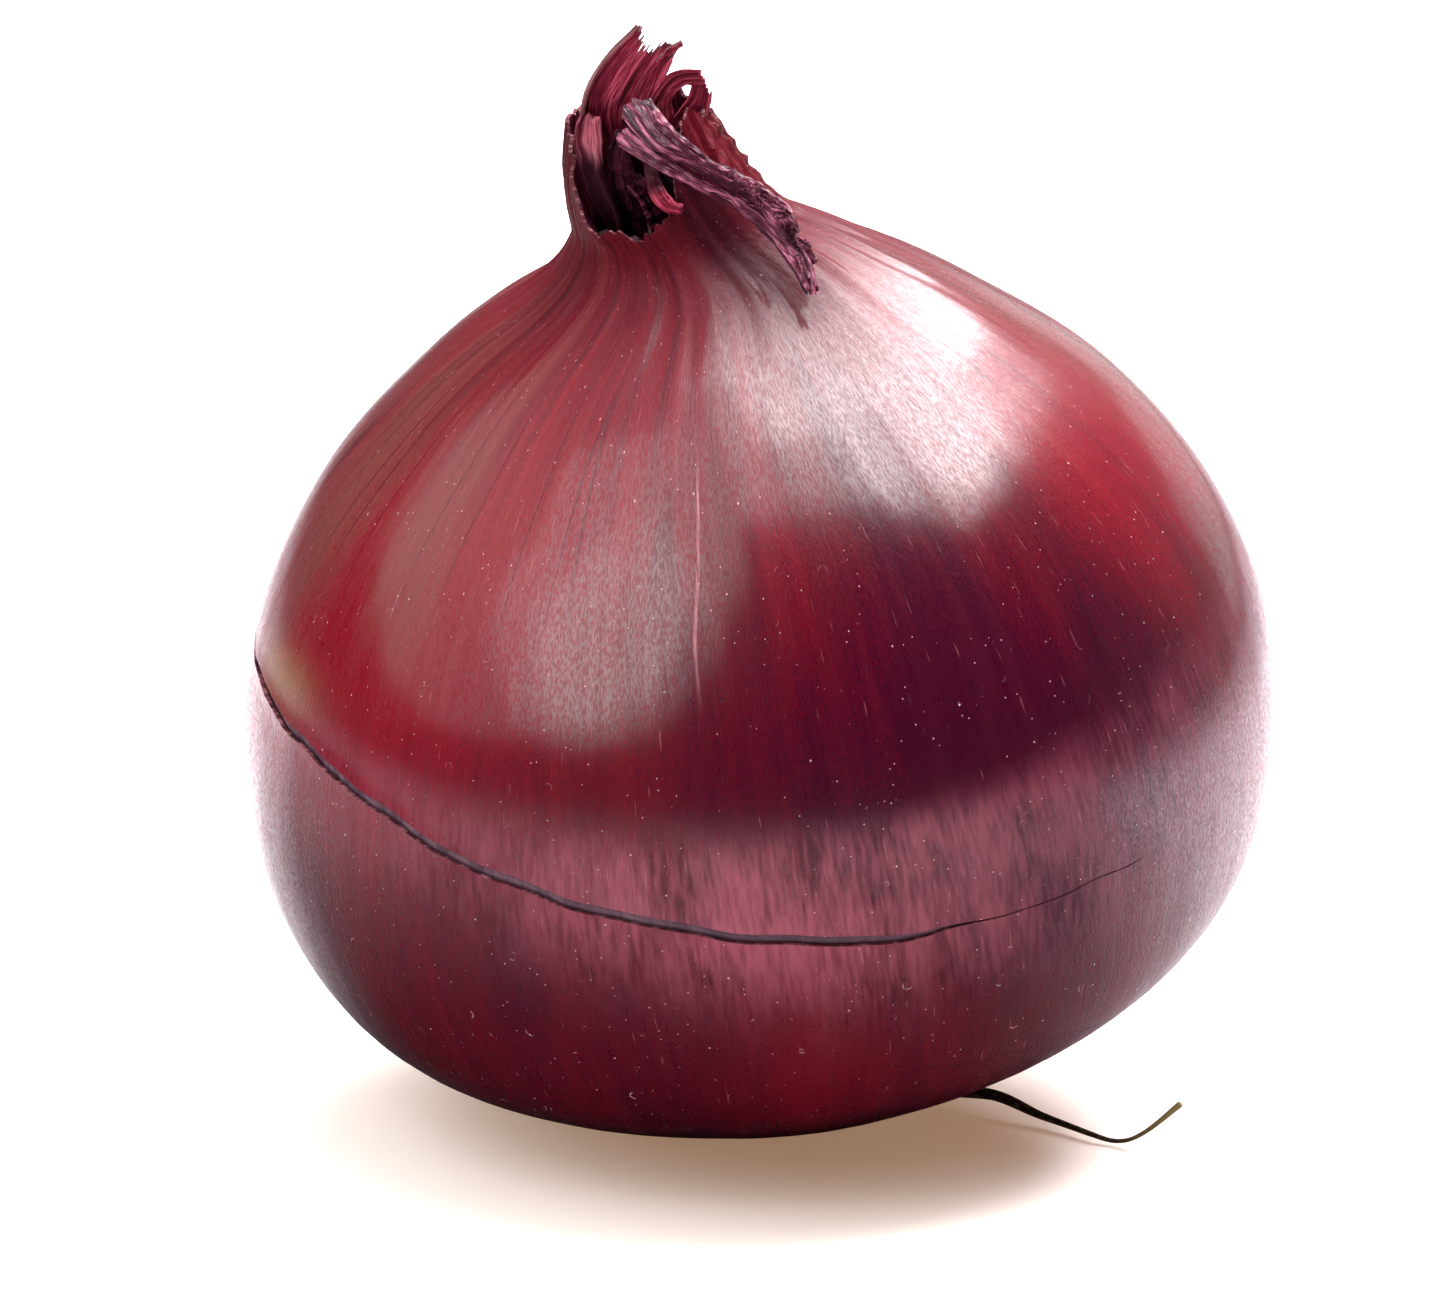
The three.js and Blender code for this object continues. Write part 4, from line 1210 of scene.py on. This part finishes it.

# count and length: of the streaks; bump: their height in metres; the throat's shade: how far the painted
# shade of the throat covers the part that is down in it; tip: the colour of the root's tip
leafFinishes = {
    "crimsonLeaf": {
        "dark": (0.035, 0.001, 0.006, 1), "middle": (0.17, 0.005, 0.024, 1), "light": (0.6, 0.09, 0.15, 1),
        "count": 150, "length": 0.04, "roughness": 0.45, "bump": 0.0005, "throat": 0.9, "specular": 0.12,
    },
    "greyLeaf": {
        "dark": (0.02, 0.0012, 0.006, 1), "middle": (0.085, 0.006, 0.023, 1),
        "light": (0.56, 0.17, 0.26, 1), "count": 140, "length": 0.08, "roughness": 0.35, "bump": 0.0008,
        "throat": 0.85, "specular": 0.35,
    },
    "hemLeaf": {
        "dark": (0.03, 0.007, 0.01, 1), "middle": (0.1, 0.028, 0.032, 1), "light": (0.26, 0.12, 0.12, 1),
        "count": 90, "length": 0.04, "roughness": 0.5, "bump": 0.0004, "throat": 0.85,
    },
    "pinkLeaf": {
        "dark": (0.05, 0.006, 0.014, 1), "middle": (0.24, 0.05, 0.075, 1), "light": (0.55, 0.2, 0.24, 1),
        "count": 80, "length": 0.04, "roughness": 0.5, "bump": 0.0003, "throat": 0.95, "specular": 0.04,
    },
    "throatLeaf": {
        "dark": (0.006, 0.001, 0.003, 1), "middle": (0.03, 0.003, 0.01, 1), "light": (0.1, 0.02, 0.035, 1),
        "count": 60, "length": 0.05, "roughness": 0.6, "bump": 0.0003, "specular": 0.06,
    },
    "skinInside": {
        "dark": (0.01, 0.001, 0.004, 1), "middle": (0.035, 0.002, 0.008, 1),
        "light": (0.1, 0.012, 0.025, 1), "count": 22, "length": 0.1, "roughness": 0.5, "bump": 0.0002,
        "specular": 0.08,
    },
    "skinEdge": {
        "dark": (0.02, 0.003, 0.008, 1), "middle": (0.1, 0.02, 0.03, 1), "light": (0.42, 0.18, 0.2, 1),
        "count": 50, "length": 1.0, "roughness": 0.6, "bump": 0.0001,
    },
    "underSkin": {
        "dark": (0.05, 0.022, 0.036, 1), "middle": (0.085, 0.042, 0.062, 1), "light": (0.15, 0.08, 0.1, 1),
        "count": 30, "length": 0.1, "roughness": 0.5, "bump": 0.0002,
    },
    "dryRoot": {
        "dark": (0.012, 0.008, 0.006, 1), "middle": (0.06, 0.035, 0.02, 1), "light": (0.22, 0.15, 0.07, 1),
        "count": 60, "length": 0.3, "roughness": 0.65, "bump": 0.0002, "tip": (0.24, 0.17, 0.07, 1),
    },
}

drySkin = makeSkinMaterial()
dry = {name: makeDryMaterial(name, finish) for name, finish in leafFinishes.items()}
print("materials made")

makeSkin([drySkin, dry["skinInside"], dry["skinEdge"], dry["crimsonLeaf"]])
makeBulb([dry["underSkin"]])
makeRoots([dry["dryRoot"]])
makeLeaf("topLeaf", topLeaf, [dry["crimsonLeaf"], dry["hemLeaf"]])
makeLeaf("sideLeaf", sideLeaf, [dry["crimsonLeaf"], dry["crimsonLeaf"]])
makeLeaf("hangingLeaf", hangingLeaf, [dry["greyLeaf"], dry["throatLeaf"]])
makeLeaf("innerLeaf", innerLeaf, [dry["pinkLeaf"], dry["pinkLeaf"]])
print("pieces made")


# Studio

studio = {
    "floorSize": 6.0,
    "floorColour": (0.6, 0.6, 0.6, 1),
    "floorSeen": (0.95, 0.95, 0.95, 1),
    "shadowLift": (0.3, 0.18, 0.11, 1),  # warms the shadow
    # the floor as the skin mirrors it, a painted shadow and pool of light: near the onion, further off, and
    # behind it to the right
    "mirroredNear": 0.03,
    "mirroredFar": 0.2,
    "mirroredBehind": 0.6,
    "mirroredEnds": (0.04, 0.13),  # distances from the middle where near ends and far begins
    "mirroredFades": (0.12, 0.5, 0.2),  # the part behind fades between these distances, to this share
    "mirroredBegins": (-0.03, 0.04),  # where the part behind begins
    "mirroredSlant": 0.4,  # how much further back it begins to the left
    "mirroredTint": (1, 0.95, 1, 1),
    "target": (-2.78, -0.13, 36.85),
    "elevation": 13.0,
    "distance": 420.0,
    "lens": 136.2,
    # the window overhead: x, y, z, width, length, turn in degrees, power
    "windows": {
        "window": (0.46, 0.7, 1.04, 0.66, 1.5, -5, 28.0),
        "windowMiddle": (0.38, 0.68, 1.05, 0.88, 1.62, -5, 24.0),
        "windowWide": (0.33, 0.66, 1.06, 1.16, 1.8, -5, 26.0),
        "windowEnd": (0.2, -0.12, 1.04, 0.44, 0.34, 20, 3.4),
        "windowEndWide": (0.14, -0.14, 1.05, 0.7, 0.5, 20, 5.4),
    },
    "windowColour": (1, 0.93, 0.95),
    # name: azimuth (0 towards the camera, 90 right), elevation, distance, width, height, power
    "lights": {
        "rightRim": (150, 9, 0.9, 0.6, 0.24, 0.3),
        "frontLeft": (-41, 36, 0.9, 0.48, 0.72, 2.0),
        "frontLeftWide": (-43, 40, 0.92, 0.84, 1.04, 3.8),
        "leftWide": (-72, 44, 0.9, 1.5, 1.3, 5.2),
        "fill": (0, 90, 1.2, 2.4, 2.4, 12.0),
    },
    "lightTarget": (0, 0, 0.04),
    "roundLights": ("frontLeft", "frontLeftWide", "leftWide"),
    "unmirroredLights": ("fill",),
    # the room: its glow behind the onion to the right, and in front
    "worldBack": 0.22,
    "worldFront": 0.008,
    "worldDirection": (0.6, 0.8),
    "worldRange": (0.25, 1.0),
}


def floorMirrored(net):
    # painted shadow and light in what the skin mirrors: darker near the onion, brighter further off,
    # brightest behind it
    place = net.node("ShaderNodeTexCoord").outputs["Object"]
    away = net.node("ShaderNodeVectorMath", {0: place}, operation="LENGTH").outputs["Value"]
    sideways, depth, _ = net.split(place)
    near, far, behind = studio["mirroredNear"], studio["mirroredFar"], studio["mirroredBehind"]
    fadeFrom, fadeTo, fadeShare = studio["mirroredFades"]
    slanted = net.plus(depth, net.times(sideways, studio["mirroredSlant"]))
    brightest = net.times(
        net.rangeOf(slanted, *studio["mirroredBegins"]),
        net.rangeOf(away, fadeFrom, fadeTo, behind, fadeShare * behind),
    )
    grey = net.most(net.rangeOf(away, *studio["mirroredEnds"], near, far), brightest)
    grey = net.node("ShaderNodeCombineColor", {0: grey, 1: grey, 2: grey}).outputs[0]
    return net.mix(1.0, grey, studio["mirroredTint"], "MULTIPLY")


def makeFloor():
    # a pale sheet that is seen brighter than it lights, with a painted glow that lifts and warms its
    # shadow, and that is mirrored darker
    half = studio["floorSize"] / 2
    mesh = bpy.data.meshes.new("floor")
    corners = [(-half, -half, 0), (half, -half, 0), (half, half, 0), (-half, half, 0)]
    mesh.from_pydata(corners, [], [(0, 1, 2, 3)])
    material = bpy.data.materials.new("paleFloor")
    material.use_nodes = True
    net = Net(material.node_tree)
    shader = next(node for node in net.tree.nodes if node.type == "BSDF_PRINCIPLED").inputs
    rays = net.node("ShaderNodeLightPath").outputs
    colour = net.mix(rays["Is Camera Ray"], studio["floorColour"], studio["floorSeen"])
    net.put(shader["Base Color"], net.mix(rays["Is Glossy Ray"], colour, floorMirrored(net)))
    shader["Roughness"].default_value = 0.9
    shader["Specular IOR Level"].default_value = 0.1
    shader["Emission Color"].default_value = studio["shadowLift"]
    net.put(shader["Emission Strength"], rays["Is Camera Ray"])
    mesh.materials.append(material)
    floor = bpy.data.objects.new("floor", mesh)
    bpy.context.collection.objects.link(floor)


def addLight(name, size, power, place, turned):
    # one sheet of light
    light = bpy.data.lights.new(name, "AREA")
    light.shape = "ELLIPSE" if name in studio["roundLights"] else "RECTANGLE"
    light.size, light.size_y = size
    light.energy = power
    lamp = bpy.data.objects.new(name, light)
    lamp.location, lamp.rotation_euler = place, turned
    lamp.visible_glossy = name not in studio["unmirroredLights"]
    bpy.context.collection.objects.link(lamp)
    return light


def makeLights():
    # lights on a sphere round the onion that face it, and a window overhead of nested sheets, whose
    # powers add up towards its middle
    for name, (azimuth, elevation, distance, width, height, power) in studio["lights"].items():
        a, e = math.radians(azimuth), math.radians(elevation)
        away = np.array([math.sin(a) * math.cos(e), -math.cos(a) * math.cos(e), math.sin(e)])
        place = away * distance + np.array(studio["lightTarget"])
        addLight(name, (width, height), power, place, (math.pi / 2 - e, 0, a))
    for name, (x, y, z, width, length, turned, power) in studio["windows"].items():
        light = addLight(name, (width, length), power, (x, y, z), (0, 0, math.radians(turned)))
        light.color = studio["windowColour"]


def makeWorld():
    # a room that glows behind the onion and is dark in front
    world = bpy.data.worlds.new("studio")
    bpy.context.scene.world = world
    world.use_nodes = True
    net = Net(world.node_tree)
    background = next(node for node in net.tree.nodes if node.type == "BACKGROUND").inputs
    parts = net.split(net.node("ShaderNodeTexCoord").outputs["Generated"])
    right, back = studio["worldDirection"]
    towards = net.plus(net.times(parts[0], right), net.times(parts[1], back))
    glow = net.rangeOf(towards, *studio["worldRange"], studio["worldFront"], studio["worldBack"])
    net.put(background["Strength"], glow)
    background["Color"].default_value = (1, 1, 1, 1)


def makeCamera():
    # a long lens, level with the photograph's, that looks at the onion's middle
    elevation = math.radians(studio["elevation"])
    forward = np.array([0, math.cos(elevation), -math.sin(elevation)])
    camera = bpy.data.cameras.new("camera")
    camera.lens = studio["lens"]
    camera.sensor_width = 36
    camera.clip_start = 0.01
    holder = bpy.data.objects.new("camera", camera)
    holder.location = (np.array(studio["target"]) - forward * studio["distance"]) * mm
    holder.rotation_euler = (math.pi / 2 - elevation, 0, 0)
    bpy.context.collection.objects.link(holder)
    bpy.context.scene.camera = holder


makeFloor()
makeLights()
makeWorld()
makeCamera()
bpy.context.scene.view_settings.view_transform = "Standard"
print("studio made")
